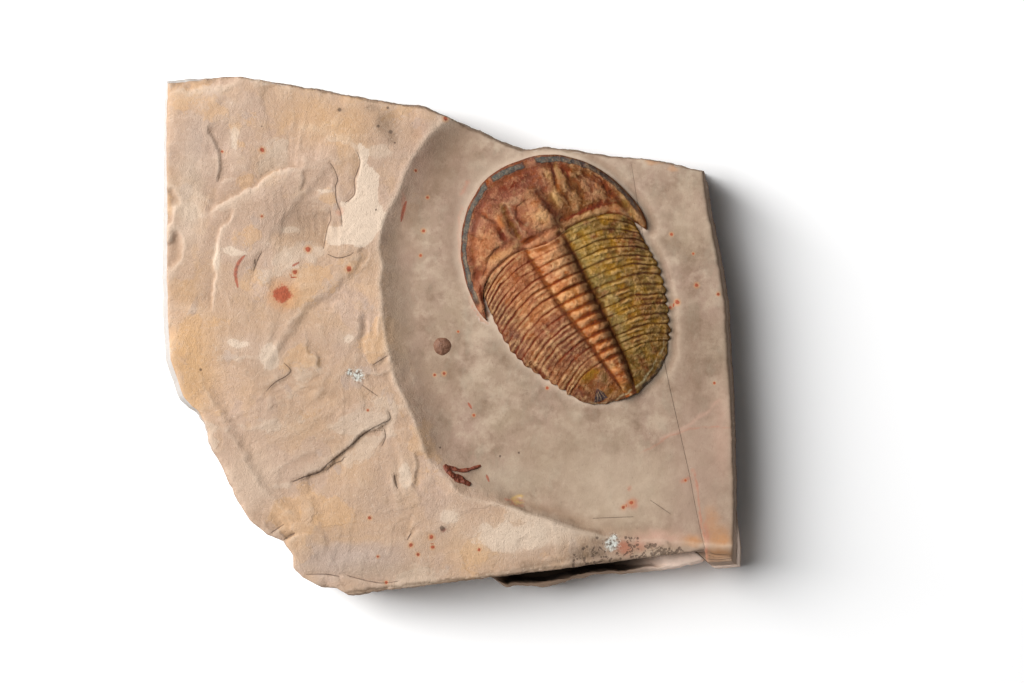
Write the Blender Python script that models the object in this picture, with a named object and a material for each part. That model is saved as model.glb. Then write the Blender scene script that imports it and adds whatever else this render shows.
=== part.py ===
"""A trilobite fossil on its prepared slab of mudstone.

The slab lies flat with its base on z = 0 and its worked face up. X runs along the slab's length,
Y across it from the sawn front edge to the back edge. Lengths below are in millimetres.
"""
import math

import bmesh
import bpy
import numpy as np
from mathutils import Vector
from mathutils.geometry import delaunay_2d_cdt

MM = 0.001

# The slab.
PLATEAU_Z = 17.5          # the rough left part of the face
FLOOR_Z = 15.2            # the ground floor of the dish around the trilobite
WALL_WIDTH = 3.2          # the dish's sloping wall, crest to foot
BED_BOTTOM_Z = 12.6       # underside of the upper bed, where it overhangs the front
SHELF_Z = 10.6            # top of the lower bed, which stands out below it
RECESS_DEPTH = 3.2        # how far the dark gap between the two beds goes in
TOP_SPACING = 2.35        # spacing of the face's vertices
EDGE_SPACING = 2.4        # spacing of the vertices along edges and ledges

# The outline of the face, side by side, as corners where the stone is straight between them.
FRONT_EDGE = [(-17.7, -44.7), (-8.8, -43.6), (6.5, -41.7), (25.2, -39.4), (37.4, -37.9),
              (43.0, -37.1), (43.5, -39.3), (47.8, -39.1)]
RIGHT_EDGE = [(47.8, -39.1), (48.1, -28.6), (47.5, -11.6), (46.4, 5.4), (44.9, 14.6),
              (43.6, 20.6), (42.7, 27.4)]
BACK_EDGE = [(42.7, 27.4), (38.8, 28.4), (33.7, 29.4), (26.4, 29.8), (22.6, 30.6), (16.4, 31.3),
             (11.9, 31.0), (8.2, 32.4), (3.1, 34.7), (-1.2, 36.7), (-4.6, 38.1), (-13.1, 39.3),
             (-22.1, 41.0), (-29.2, 42.3), (-36.4, 43.5), (-42.8, 42.8), (-48.3, 42.3)]
LEFT_EDGE = [(-48.3, 42.3), (-48.6, 36.0), (-48.5, 22.4), (-48.5, 10.5), (-48.3, 0.3), (-47.9, -4.8),
             (-46.8, -7.8), (-45.6, -11.2), (-43.2, -13.4), (-41.8, -15.8), (-41.3, -18.4),
             (-38.8, -23.8), (-36.0, -29.4), (-34.3, -32.1), (-31.3, -34.5), (-28.7, -35.5),
             (-27.0, -37.9), (-27.0, -40.0), (-25.4, -41.7), (-22.1, -43.4), (-19.9, -43.4),
             (-17.7, -44.7)]
LEFT_OUT = 2.5            # how far each wall has spread out at the base
BACK_OUT = 1.4
RIGHT_OUT = 1.7
CORNER_OUT = 3.0          # the right wall at the front corner
SHELF_OUT = 3.1           # the lower bed's front, beyond the face's front edge

# The crest of the dish's wall, from the back edge round to where it fades out at the front.
RIM = [(-1.0, 34.6), (-6.3, 30.1), (-9.7, 22.4), (-12.2, 12.2), (-11.6, 0.3), (-6.8, -14.1),
       (0.0, -26.0), (6.5, -29.1), (15.0, -31.6), (25.2, -34.7), (36.0, -35.6)]
RIM_FADE_X = (17.0, 33.0)     # between these the plateau comes down to the dish's floor
BACK_FADE_X = (-3.0, 9.0)     # and so it does towards the back edge

# Flaked ledges on the plateau: crest points with the low side on their left, drop, reach.
LEDGES = [
    ([(-43.0, 20.0), (-38.0, 23.5), (-33.0, 26.5), (-26.0, 27.8)], 0.9, 7.0),
    ([(-20.0, 29.5), (-26.5, 22.5), (-31.0, 16.0)], 0.7, 6.0),
    ([(-41.0, 3.0), (-39.6, 13.0), (-37.5, 18.0)], 0.6, 6.0),
    ([(-10.6, -13.5), (-15.0, -17.0), (-20.0, -22.0), (-27.0, -25.6)], 0.9, 8.0),
    ([(-13.6, 14.0), (-20.0, 8.0), (-26.0, 3.0), (-33.0, -8.0)], 0.5, 7.0),
    ([(-42.6, -8.0), (-38.0, -16.0), (-33.0, -25.0), (-25.0, -33.0)], 0.7, 6.0),
]
LUMPS = [(-24.0, 18.5, 5.0, -0.9), (-38.0, 33.0, 8.0, 0.4), (-30.0, -4.0, 9.0, 0.35),
         (-17.0, 33.0, 6.0, 0.3), (-20.0, -36.0, 9.0, -0.5), (-44.0, 24.0, 4.0, -0.7)]

# The trilobite, in its own frame: t across it, s towards its tail, from a point on its axis.
TRILOBITE_AT = (20.06, 8.5)
TRILOBITE_TURN = math.radians(25.0)   # from +X to the way across it
SEGMENTS = 13
MARGIN_HEIGHT = 0.45      # the thin edge of the shell above the dish's floor
PLEURA_HEIGHT = 1.55      # the side lobes beside the axis
AXIS_HEIGHT = 1.25        # the axis above them
SEGMENT_RELIEF = 0.42
PLEURAL_FURROW = 0.22     # the slanting furrow along the middle of each side rib
FURROW_DEPTH = 0.42
SEAT_DEPTH = 0.55         # the underside's depth below the dish's floor
FIT_GAP = 0.3             # between each fossil and the pocket it sits in
TOOTH_LENGTH = 0.75       # the free tips of the rear segments
HEAD_CREASES = 0.3        # the crushed right cheek
HEAD_BEND = 1.6           # how late the rows bend towards the tail, on the head and on either side
LEFT_BEND = 2.0
RIGHT_BEND = 3.2
# Swellings and pits of the head: place, reach across and along, and height.
HEAD_LUMPS = [(-0.8, 12.8, 1.6, 2.4, 0.8), (-5.6, 13.6, 1.0, 3.0, 1.0), (5.4, 13.6, 1.4, 3.2, 0.6),
              (-10.8, 11.5, 2.6, 3.6, 0.5), (-4.2, 9.8, 1.2, 1.0, -0.6), (2.4, 10.2, 1.4, 1.0, -0.5),
              (-7.2, 11.9, 0.9, 1.4, -0.9), (-3.2, 15.4, 1.4, 0.8, 0.35)]

# Rows across the trilobite: row number (negative on the head, 0 to 13 the segments' front edges,
# then the tail), middle of the axis, half its width, left and right margins.
STATIONS = [
    (-9.0, (-1.7, 22.6), 1.0, (-2.7, 22.6), (-0.7, 22.65)),
    (-8.3, (-1.7, 21.4), 1.7, (-6.8, 21.4), (4.0, 21.8)),
    (-7.3, (-1.6, 19.7), 2.2, (-10.5, 18.7), (8.7, 19.2)),
    (-6.0, (-1.5, 17.9), 2.4, (-13.1, 15.6), (11.6, 16.6)),
    (-4.7, (-1.4, 15.6), 2.4, (-14.8, 12.2), (13.6, 13.8)),
    (-3.0, (-1.3, 12.9), 2.8, (-15.8, 8.5), (15.1, 10.2)),
    (-1.2, (-1.2, 10.2), 3.2, (-16.5, 3.7), (16.2, 6.5)),
    (-0.3, (-1.0, 8.3), 3.5, (-15.6, -0.2), (15.6, 2.6)),
    (0.0, (-1.0, 8.0), 3.6, (-14.5, 2.4), (14.4, 3.9)),
    (1.0, (-0.9, 6.1), 3.6, (-14.5, 1.2), (14.4, 2.4)),
    (3.0, (-0.6, 2.8), 3.4, (-14.4, -1.4), (14.5, -0.7)),
    (5.0, (-0.3, -0.9), 3.1, (-13.9, -5.1), (14.6, -3.7)),
    (7.0, (0.1, -4.7), 2.8, (-13.1, -8.7), (14.2, -7.0)),
    (9.0, (0.5, -8.2), 2.5, (-11.3, -12.0), (13.3, -10.3)),
    (11.0, (0.9, -11.6), 2.1, (-9.4, -15.0), (12.1, -13.4)),
    (13.0, (1.2, -14.6), 1.9, (-8.0, -17.3), (10.9, -16.0)),
    (14.0, (1.4, -16.3), 1.7, (-7.1, -18.8), (10.0, -17.9)),
    (15.0, (1.4, -18.2), 1.4, (-5.3, -20.5), (8.2, -19.6)),
    (16.0, (1.5, -19.9), 1.2, (-2.9, -21.5), (5.8, -20.7)),
    (16.8, (1.4, -21.95), 1.0, (-0.3, -21.9), (3.1, -21.7)),
]
HEAD_ROWS = [-9.0, -8.6, -8.2, -7.7, -7.1, -6.5, -5.8, -5.1, -4.4, -3.7, -3.0, -2.3, -1.7, -1.1, -0.6, -0.3]
SEGMENT_PHASES = [0.0, 0.25, 0.55, 0.85]      # furrow, rise, crest, and the fall to the next furrow
TAIL_ROWS = [13.0, 13.3, 13.6, 14.0, 14.4, 14.8, 15.3, 15.8, 16.3, 16.8]
SIDE_STEPS = [0.0, 0.1, 0.2, 0.32, 0.45, 0.58, 0.71, 0.84, 0.94, 1.0]   # furrow to margin
AXIS_STEPS = [-1.0, -0.72, -0.38, 0.0, 0.38, 0.72, 1.0]      # across the axis

# The two small shells beside it.
ROUND_SHELL_AT = (-1.7, -2.4)
ROUND_SHELL_RADIUS = 1.5
ROUND_SHELL_HEIGHT = 0.5
FRAGMENT_ARMS = [[(-1.3, -22.4), (0.5, -24.4), (3.1, -25.3)], [(0.4, -23.6), (2.4, -23.3), (4.8, -22.7)]]
FRAGMENT_WIDTH = 0.95
FRAGMENT_HEIGHT = 0.55
SHELL_SEAT = 0.35         # how deep they sit in the stone


def smooth(low, high, value):
    """0 below low, 1 above high, and a soft rise between."""
    part = np.clip((value - low) / (high - low), 0.0, 1.0)
    return part * part * (3.0 - 2.0 * part)


def resample(points, spacing):
    """The polyline with extra points, so that no stretch is longer than the spacing."""
    dense = []
    for start, end in zip(points, points[1:]):
        length = math.dist(start, end)
        parts = max(1, round(length / spacing))
        for step in range(parts):
            part = step / parts
            dense.append((start[0] + (end[0] - start[0]) * part, start[1] + (end[1] - start[1]) * part))
    dense.append(points[-1])
    return dense


def spline(points, spacing):
    """A smooth curve through the points, by Catmull-Rom, at about the spacing."""
    padded = [points[0]] + list(points) + [points[-1]]
    curve = []
    for before, start, end, after in zip(padded, padded[1:], padded[2:], padded[3:]):
        parts = max(1, round(math.dist(start, end) / spacing))
        for step in range(parts):
            u = step / parts
            curve.append(tuple(
                0.5 * (2 * b + (c - a) * u + (2 * a - 5 * b + 4 * c - d) * u * u
                       + (3 * b - a - 3 * c + d) * u * u * u)
                for a, b, c, d in zip(before, start, end, after)))
    curve.append(points[-1])
    return curve


def side_of(x, y, curve):
    """Signed distance to a curve, positive on its left, and how far along it the nearest point is."""
    point = np.stack([np.asarray(x, float), np.asarray(y, float)], -1)
    curve = np.asarray(curve, float)
    start, step = curve[:-1], curve[1:] - curve[:-1]
    length = np.hypot(step[:, 0], step[:, 1])
    offset = point[..., None, :] - start
    part = np.clip((offset * step).sum(-1) / length ** 2, 0.0, 1.0)
    away = offset - part[..., None] * step
    distance = np.hypot(away[..., 0], away[..., 1])
    nearest = distance.argmin(-1)[..., None]
    cross = step[:, 0] * offset[..., 1] - step[:, 1] * offset[..., 0]
    run = np.concatenate([[0.0], np.cumsum(length)[:-1]]) + part * length
    sign = np.where(np.take_along_axis(cross, nearest, -1) >= 0.0, 1.0, -1.0)
    signed = sign * np.take_along_axis(distance, nearest, -1)
    along = np.take_along_axis(run, nearest, -1) / length.sum()
    return signed[..., 0], along[..., 0]


def plateau_height(x, y):
    """The rough face outside the dish: gentle lumps and flaked ledges."""
    z = PLATEAU_Z + 0.0 * x
    for lump_x, lump_y, radius, height in LUMPS:
        z = z + height * np.exp(-((x - lump_x) ** 2 + (y - lump_y) ** 2) / radius ** 2)
    for points, drop, reach in LEDGES:
        across, along = side_of(x, y, spline(points, 1.0))
        ends = smooth(0.0, 0.18, along) * smooth(0.0, 0.18, 1.0 - along)
        fall = smooth(0.0, 0.7, across) * np.exp(-np.maximum(across, 0.0) / reach)
        z = z - drop * fall * ends
    return z


def face_height(x, y):
    """Height of the whole face: the plateau, with the dish ground into it."""
    x, y = np.asarray(x, float), np.asarray(y, float)
    across, _ = side_of(x, y, spline(RIM, 1.0))
    floor = FLOOR_Z + 0.25 * smooth(30.0, 46.0, x) + 0.12 * np.sin(x * 0.21) * np.cos(y * 0.17)
    down = 1.0 - (1.0 - smooth(RIM_FADE_X[0], RIM_FADE_X[1], x) * smooth(-24.0, -34.0, y)) \
        * (1.0 - smooth(BACK_FADE_X[0], BACK_FADE_X[1], x) * smooth(26.0, 33.0, y))
    rough = plateau_height(x, y)
    rough = rough + (np.minimum(rough, floor + 0.5) - rough) * down
    inside = np.clip(across / WALL_WIDTH, 0.0, 1.0)
    wall = 1.0 - (1.0 - inside) ** 2.2
    height = rough + (floor - rough) * wall
    corner = smooth(36.4, 38.4, -y) * smooth(41.0, 43.4, x)
    return height - 0.8 * corner


def outward(point, length):
    """The point moved away from the slab's middle."""
    reach = math.hypot(*point)
    return point[0] * (1 + length / reach), point[1] * (1 + length / reach)


def side_weights(point):
    """How much a place on the outline belongs to the left, back, right and front-right walls."""
    x, y = point
    left = float(smooth(38.0, 46.0, -x))
    back = float(smooth(24.0, 29.0, y)) * (1.0 - left)
    right = float(smooth(40.0, 43.5, x)) * (1.0 - back)
    front = float(smooth(6.0, 9.0, x)) * float(smooth(30.0, 36.5, -y))
    return left, back, right, front


def wall_ring(point, top, level):
    """Place of the wall under an outline point, at level 0 (face) to 6 (base)."""
    left, back, right, front = side_weights(point)
    corner = right * front
    spread = LEFT_OUT * left + BACK_OUT * back + (RIGHT_OUT + (CORNER_OUT - RIGHT_OUT) * front) * right
    shelf = SHELF_OUT * front * (1.0 - right)
    gap = front * (1.0 - 0.8 * corner)
    rough = 0.22 * math.sin(point[0] * 1.3 + 2.1 * level) * math.cos(point[1] * 1.1 - 1.7 * level)
    drops = [0.0, 0.9, top - BED_BOTTOM_Z, top - BED_BOTTOM_Z + 0.35, top - SHELF_Z, top - 5.0, top]
    outs = [0.0, 0.1, spread * 0.35 - 0.2 * gap, spread * 0.4 - RECESS_DEPTH * gap,
            spread * 0.5 + shelf * 0.85, spread * 0.75 + shelf + rough, spread + shelf + rough]
    x, y = outward(point, outs[level])
    return x, y, top - drops[level]


def is_clear(point, curve, distance):
    """Whether a point keeps its distance from a curve."""
    return abs(float(side_of(point[0], point[1], curve)[0])) > distance


def shifted(curve, distance):
    """The curve moved to its left by the distance."""
    moved = []
    for index, point in enumerate(curve):
        before = curve[max(index - 1, 0)]
        after = curve[min(index + 1, len(curve) - 1)]
        along = Vector((after[0] - before[0], after[1] - before[1])).normalized()
        moved.append((point[0] - along.y * distance, point[1] + along.x * distance))
    return moved


def face_points(outline):
    """The face's inner vertices and the edges that must stay: dish wall, ledges, an even fill."""
    lines = []
    rim = spline(RIM, EDGE_SPACING)
    lines.append(rim)
    lines.append(shifted(rim, WALL_WIDTH * 0.4))
    lines.append(shifted(rim, WALL_WIDTH * 1.05))
    for points, _, _ in LEDGES:
        crest = spline(points, EDGE_SPACING)
        lines.append(crest)
        lines.append(shifted(crest, 0.7))
    vertices, edges = [], []
    closed = outline + [outline[0]]
    for line in lines:
        kept = [p for p in line if is_clear(p, closed, 0.9)]
        edges += [(len(vertices) + i, len(vertices) + i + 1) for i in range(len(kept) - 1)]
        vertices += kept
    row_gap = TOP_SPACING * math.sqrt(0.75)
    for row in range(-60, 60):
        for column in range(-60, 60):
            point = ((column + 0.5 * (row % 2)) * TOP_SPACING, row * row_gap)
            inside = side_of(point[0], point[1], closed)[0] > TOP_SPACING * 0.45
            if inside and all(is_clear(point, line, TOP_SPACING * 0.42) for line in lines):
                vertices.append(point)
    return vertices, edges


def new_object(name, bm, material):
    """A finished object from a bmesh in millimetres, shaded smooth up to sharp edges."""
    bmesh.ops.scale(bm, vec=(MM, MM, MM), verts=bm.verts)
    bmesh.ops.recalc_face_normals(bm, faces=bm.faces)
    mesh = bpy.data.meshes.new(name)
    bm.to_mesh(mesh)
    bm.free()
    mesh.materials.append(material)
    mesh.shade_smooth()
    mesh.set_sharp_from_angle(angle=math.radians(40.0))
    thing = bpy.data.objects.new(name, mesh)
    bpy.context.collection.objects.link(thing)
    return thing


def make_material(name, colour, roughness):
    """A plain material of one colour."""
    material = bpy.data.materials.new(name)
    material.use_nodes = True
    shader = material.node_tree.nodes["Principled BSDF"]
    shader.inputs["Base Color"].default_value = (*colour, 1.0)
    shader.inputs["Roughness"].default_value = roughness
    shader.inputs["Metallic"].default_value = 0.0
    material.diffuse_color = (*colour, 1.0)
    return material


def close_below(bm, rings):
    """Wall rings under the open edge, each made by a function of the vertex, and a flat base."""
    edges = [e for e in bm.edges if e.is_boundary]
    source = {v: v.co.copy() for e in edges for v in e.verts}
    for ring in rings:
        extruded = bmesh.ops.extrude_edge_only(bm, edges=edges)["geom"]
        new_edges = [e for e in extruded if isinstance(e, bmesh.types.BMEdge) and e.is_boundary]
        new_source = {}
        for vertex in {v for e in new_edges for v in e.verts}:
            above = next(e.other_vert(vertex) for e in vertex.link_edges
                         if e.other_vert(vertex) in source)
            new_source[vertex] = source[above]
            vertex.co = ring(source[above])
        edges, source = new_edges, new_source
    bmesh.ops.contextual_create(bm, geom=edges)


def make_matrix():
    """The slab: its face, its walls with the two beds, its flat base."""
    corners = FRONT_EDGE[:-1] + RIGHT_EDGE[:-1] + BACK_EDGE[:-1] + LEFT_EDGE[:-1]
    outline = resample(corners + [corners[0]], EDGE_SPACING)[:-1]
    inner, inner_edges = face_points(outline)
    count = len(outline)
    flat = [Vector(p) for p in outline + inner]
    edges = [(a + count, b + count) for a, b in inner_edges]
    points, _, faces, _, _, _ = delaunay_2d_cdt(flat, edges, [list(range(count))], 1, 1e-5)
    heights = face_height([p.x for p in points], [p.y for p in points])
    bm = bmesh.new()
    vertices = [bm.verts.new((p.x, p.y, z)) for p, z in zip(points, heights)]
    for face in faces:
        bm.faces.new([vertices[i] for i in face])
    rings = [lambda top, level=level: wall_ring((top.x, top.y), top.z, level) for level in range(1, 7)]
    close_below(bm, rings)
    stone = make_material("mudstone", (0.56, 0.41, 0.30), 0.9)
    return new_object("matrix", bm, stone)


def station(row):
    """Axis middle, half width and both margins of the trilobite at a row number."""
    rows = [s[0] for s in STATIONS]
    def read(values):
        return float(np.interp(row, rows, values))
    middle = (read([s[1][0] for s in STATIONS]), read([s[1][1] for s in STATIONS]))
    left = (read([s[3][0] for s in STATIONS]), read([s[3][1] for s in STATIONS]))
    right = (read([s[4][0] for s in STATIONS]), read([s[4][1] for s in STATIONS]))
    return middle, read([s[2] for s in STATIONS]), left, right


def segment_phase(row):
    """Where a row lies inside its segment, 0 to 1, and 0 outside the thorax."""
    return row % 1.0 if 0.0 <= row < SEGMENTS else 0.0


def ridge(phase):
    """The rise of a segment: a furrow at its front, its crest at the middle, a fall behind it."""
    return math.sin(math.pi * phase) ** 0.7


def bump(x, y, middle_x, middle_y, radius_x, radius_y):
    """A round swelling, 1 at its middle."""
    return math.exp(-((x - middle_x) / radius_x) ** 2 - ((y - middle_y) / radius_y) ** 2)


def axis_rise(row):
    """How far the axis stands up: nothing ahead of the glabella, then full, fading on the tail."""
    rows = [-9.0, -5.9, -5.2, -4.4, 0.0, 13.0, 15.2, 16.4]
    return float(np.interp(row, rows, [0.0, 0.0, 0.3, 1.0, 1.0, 0.8, 0.5, 0.0]))


def shell_height(row, x, y, across, side):
    """Height above the margin. across is -1 to 1 over the axis; side is 0 furrow to 1 margin."""
    head = row < 0.0
    tail = row >= SEGMENTS
    flat_front = float(smooth(-9.0, -5.5, row))
    flat_tail = 1.0 - float(smooth(14.0, 16.8, row))
    body = flat_front * flat_tail
    if side > 0.0:
        height = PLEURA_HEIGHT * (1.0 - side ** 2.6) * (0.35 + 0.65 * body)
        height -= FURROW_DEPTH * math.exp(-(side / 0.08) ** 2) * axis_rise(row)
    else:
        height = PLEURA_HEIGHT * (0.35 + 0.65 * body) - FURROW_DEPTH * axis_rise(row)
        height += (AXIS_HEIGHT + FURROW_DEPTH) * axis_rise(row) * (1.0 - abs(across) ** 2.4)
    if not head and not tail:
        height += SEGMENT_RELIEF * (ridge(segment_phase(row)) - 0.5) * (1.0 - 0.4 * side)
        if side > 0.0:
            height -= PLEURAL_FURROW * bump(segment_phase(row), 0.0, 0.3 + 0.35 * side, 0.0, 0.14, 1.0)
    if tail:
        height += 0.16 * math.cos((row - SEGMENTS) * math.tau) * body * (1.0 - side)
    if head:
        margin = min(1.0 - side, 1.0) * 16.0
        height += 0.55 * bump(margin, 0.0, 0.7, 0.0, 0.9, 1.0) * float(smooth(-9.0, -8.0, row))
        height -= 0.35 * bump(margin, 0.0, 2.6, 0.0, 1.0, 1.0) * float(smooth(-9.0, -7.5, row))
        for place in HEAD_LUMPS:
            height += place[-1] * bump(x, y, *place[:-1])
        height += HEAD_CREASES * math.sin(x * 2.6 + 0.4 * y) * bump(x, y, 8.5, 15.0, 4.0, 5.0)
    return height


def trilobite_row(row):
    """The vertices of one row, left margin to right margin, in the trilobite's own frame."""
    middle, half, left, right = station(row)
    tooth = TOOTH_LENGTH * float(smooth(4.0, 7.0, row)) * ridge(segment_phase(row))
    wings = []
    for sign, margin, bend in ((-1, left, LEFT_BEND), (1, right, RIGHT_BEND)):
        wing = []
        for part in SIDE_STEPS[1:]:
            width = (margin[0] - middle[0]) * sign - half + tooth * part
            x = middle[0] + sign * (half + width * part)
            y = middle[1] + (margin[1] - middle[1]) * part ** (bend if row > 0 else HEAD_BEND)
            wing.append((x, y, shell_height(row, x, y, 0.0, part)))
        wings.append(wing)
    axis = []
    for across in AXIS_STEPS:
        x = middle[0] + across * half
        axis.append((x, middle[1], shell_height(row, x, middle[1], across, 0.0)))
    return wings[0][::-1] + axis + wings[1]


def to_slab(x, y):
    """A place in the trilobite's frame, in the slab's frame."""
    across = Vector((math.cos(TRILOBITE_TURN), math.sin(TRILOBITE_TURN)))
    along = Vector((-across.y, across.x))
    place = Vector(TRILOBITE_AT) + across * x + along * y
    return place.x, place.y


def trilobite_rows():
    """Row numbers from head to tail."""
    thorax = [segment + phase for segment in range(SEGMENTS) for phase in SEGMENT_PHASES]
    return HEAD_ROWS + thorax + TAIL_ROWS


def make_trilobite():
    """The trilobite: head shield, thirteen segments, tail shield, in one shell filled below."""
    bm = bmesh.new()
    grid = []
    for row in trilobite_rows():
        line = []
        for x, y, z in trilobite_row(row):
            place = to_slab(x, y)
            line.append(bm.verts.new((*place, FLOOR_Z + MARGIN_HEIGHT + z)))
        grid.append(line)
    for upper, lower in zip(grid, grid[1:]):
        for i in range(len(upper) - 1):
            bm.faces.new([upper[i], lower[i], lower[i + 1], upper[i + 1]])
    close_below(bm, [lambda top: (top.x, top.y, FLOOR_Z - SEAT_DEPTH)])
    shell = make_material("fossil_shell", (0.26, 0.115, 0.035), 0.55)
    return new_object("trilobite", bm, shell)


def trilobite_seat():
    """Outline of the hollow that the trilobite sits in: round its ribs' tips, a little larger."""
    rows = HEAD_ROWS + [segment + 0.5 for segment in range(SEGMENTS)] + TAIL_ROWS
    lines = [trilobite_row(row) for row in rows]
    sides = []
    for end in (0, -1):
        kept = []
        for line in lines:
            if not kept or line[end][1] < kept[-1][1] - 0.2:
                kept.append(line[end][:2])
        sides.append(kept)
    outline = [to_slab(*place) for place in sides[0] + sides[1][::-1]]
    closed = outline[-1:] + outline + outline[:1]
    return shifted(closed, -FIT_GAP * 1.2)[1:-1]


def hide(thing):
    """Mark an object as a tool of the modelling, not a piece."""
    thing.hide_render = True
    thing.display_type = "WIRE"


def prism(name, outline, bottom, top):
    """An upright prism with a flat base, whose top is given by a function of the place."""
    bm = bmesh.new()
    face = bm.faces.new([bm.verts.new((p[0], p[1], bottom)) for p in outline])
    extruded = bmesh.ops.extrude_face_region(bm, geom=[face])["geom"]
    for vertex in extruded:
        if isinstance(vertex, bmesh.types.BMVert):
            vertex.co.z = top(vertex.co.x, vertex.co.y)
    bmesh.ops.triangulate(bm, faces=bm.faces)
    return new_object(name, bm, bpy.data.materials["mudstone"])


def cutter(name, outline, bottom):
    """A hollow's cutter: a prism from the hollow's floor to above the face."""
    thing = prism(name, outline, bottom, lambda x, y: PLATEAU_Z + 3.0)
    hide(thing)
    return thing


def combine(target, other, operation):
    """Join the other solid to the target, or take it out of the target."""
    modifier = target.modifiers.new(other.name, "BOOLEAN")
    modifier.operation = operation
    modifier.object = other
    modifier.solver = "EXACT"


def circle(middle, radius, count):
    """Points round a circle."""
    angles = [math.tau * i / count for i in range(count)]
    return [(middle[0] + radius * math.cos(a), middle[1] + radius * math.sin(a)) for a in angles]


def make_round_shell():
    """The small round shell: a low dome with a raised middle, on a flat disc."""
    base = float(face_height(*ROUND_SHELL_AT)) - SHELL_SEAT
    bm = bmesh.new()
    profile = [(1.0, 0.0), (1.0, 0.62), (0.78, 0.86), (0.42, 0.8), (0.22, 1.0)]
    rings = []
    for part, rise in profile:
        z = base + rise * (SHELL_SEAT + ROUND_SHELL_HEIGHT)
        rings.append([bm.verts.new((*p, z)) for p in circle(ROUND_SHELL_AT, part * ROUND_SHELL_RADIUS, 20)])
    for lower, upper in zip(rings, rings[1:]):
        for i in range(20):
            j = (i + 1) % 20
            bm.faces.new([lower[i], lower[j], upper[j], upper[i]])
    bm.faces.new(rings[-1])
    bm.faces.new(list(reversed(rings[0])))
    return new_object("round_shell", bm, make_material("brown_shell", (0.2, 0.09, 0.05), 0.7))


def ribbon(points, width, extra):
    """Outline of a tapering strip along the points, grown by the extra on every side."""
    curve = spline(points, 0.8)
    last = len(curve) - 1
    sides = [[], []]
    for index, point in enumerate(curve):
        before, after = curve[max(index - 1, 0)], curve[min(index + 1, last)]
        along = Vector((after[0] - before[0], after[1] - before[1])).normalized()
        half = 0.5 * width * (1.0 - 0.6 * abs(2.0 * index / last - 0.8)) + extra
        if index in (0, last):
            point = Vector(point) + along * (extra if index else -extra)
        sides[0].append((point[0] - along.y * half, point[1] + along.x * half))
        sides[1].append((point[0] + along.y * half, point[1] - along.x * half))
    return sides[0] + list(reversed(sides[1]))


def fragment_base():
    """Height of the fragment's underside, a little below the lowest stone under its arms."""
    places = [p for arm in FRAGMENT_ARMS for p in arm]
    return float(face_height(*zip(*places)).min()) - SHELL_SEAT


def make_fragment():
    """The broken piece of shell: two tapering arms that cross, joined into one."""
    parts = []
    for name, arm, rise in zip(("shell_fragment", "second_arm"), FRAGMENT_ARMS, (1.0, 0.75)):
        height = FRAGMENT_HEIGHT * rise
        parts.append(prism(name, ribbon(arm, FRAGMENT_WIDTH, 0.0), fragment_base(),
                           lambda x, y, height=height: float(face_height(x, y)) + height))
    body, other = parts
    body.data.materials.clear()
    body.data.materials.append(make_material("dark_shell", (0.09, 0.03, 0.02), 0.6))
    hide(other)
    combine(body, other, "UNION")
    return body


def centre_on_base():
    """Move everything so that the middle of its box stands on the origin."""
    bpy.context.view_layer.update()
    shown = [o for o in bpy.data.objects if not o.hide_render]
    corners = [o.matrix_world @ Vector(c) for o in shown for c in o.bound_box]
    middle_x = (min(c.x for c in corners) + max(c.x for c in corners)) / 2.0
    middle_y = (min(c.y for c in corners) + max(c.y for c in corners)) / 2.0
    for thing in bpy.data.objects:
        thing.location.x -= middle_x
        thing.location.y -= middle_y


def main():
    """Build the fossil and its slab."""
    for thing in list(bpy.data.objects):
        bpy.data.objects.remove(thing)
    matrix = make_matrix()
    make_trilobite()
    make_round_shell()
    make_fragment()
    seats = [cutter("trilobite_seat", trilobite_seat(), FLOOR_Z - SEAT_DEPTH - FIT_GAP),
             cutter("round_seat", circle(ROUND_SHELL_AT, ROUND_SHELL_RADIUS + FIT_GAP, 20),
                    float(face_height(*ROUND_SHELL_AT)) - SHELL_SEAT - FIT_GAP)]
    for number, arm in enumerate(FRAGMENT_ARMS):
        outline = ribbon(arm, FRAGMENT_WIDTH, FIT_GAP)
        seats.append(cutter(f"fragment_seat_{number}", outline, fragment_base() - FIT_GAP))
    for seat in seats:
        combine(matrix, seat, "DIFFERENCE")
    centre_on_base()


main()
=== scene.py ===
"""Looks for a trilobite on its prepared slab of mudstone.

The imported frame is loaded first. The stone's two beds, the trilobite's head and body and the
two small shells are then surfaces worked out with numpy, in millimetres in the slab's own
frame, and each one stands over its node of the frame. The file is laid out as an add-on, whose
panel lists one operator for each group of pieces and one for the stage.
"""
import math

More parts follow.
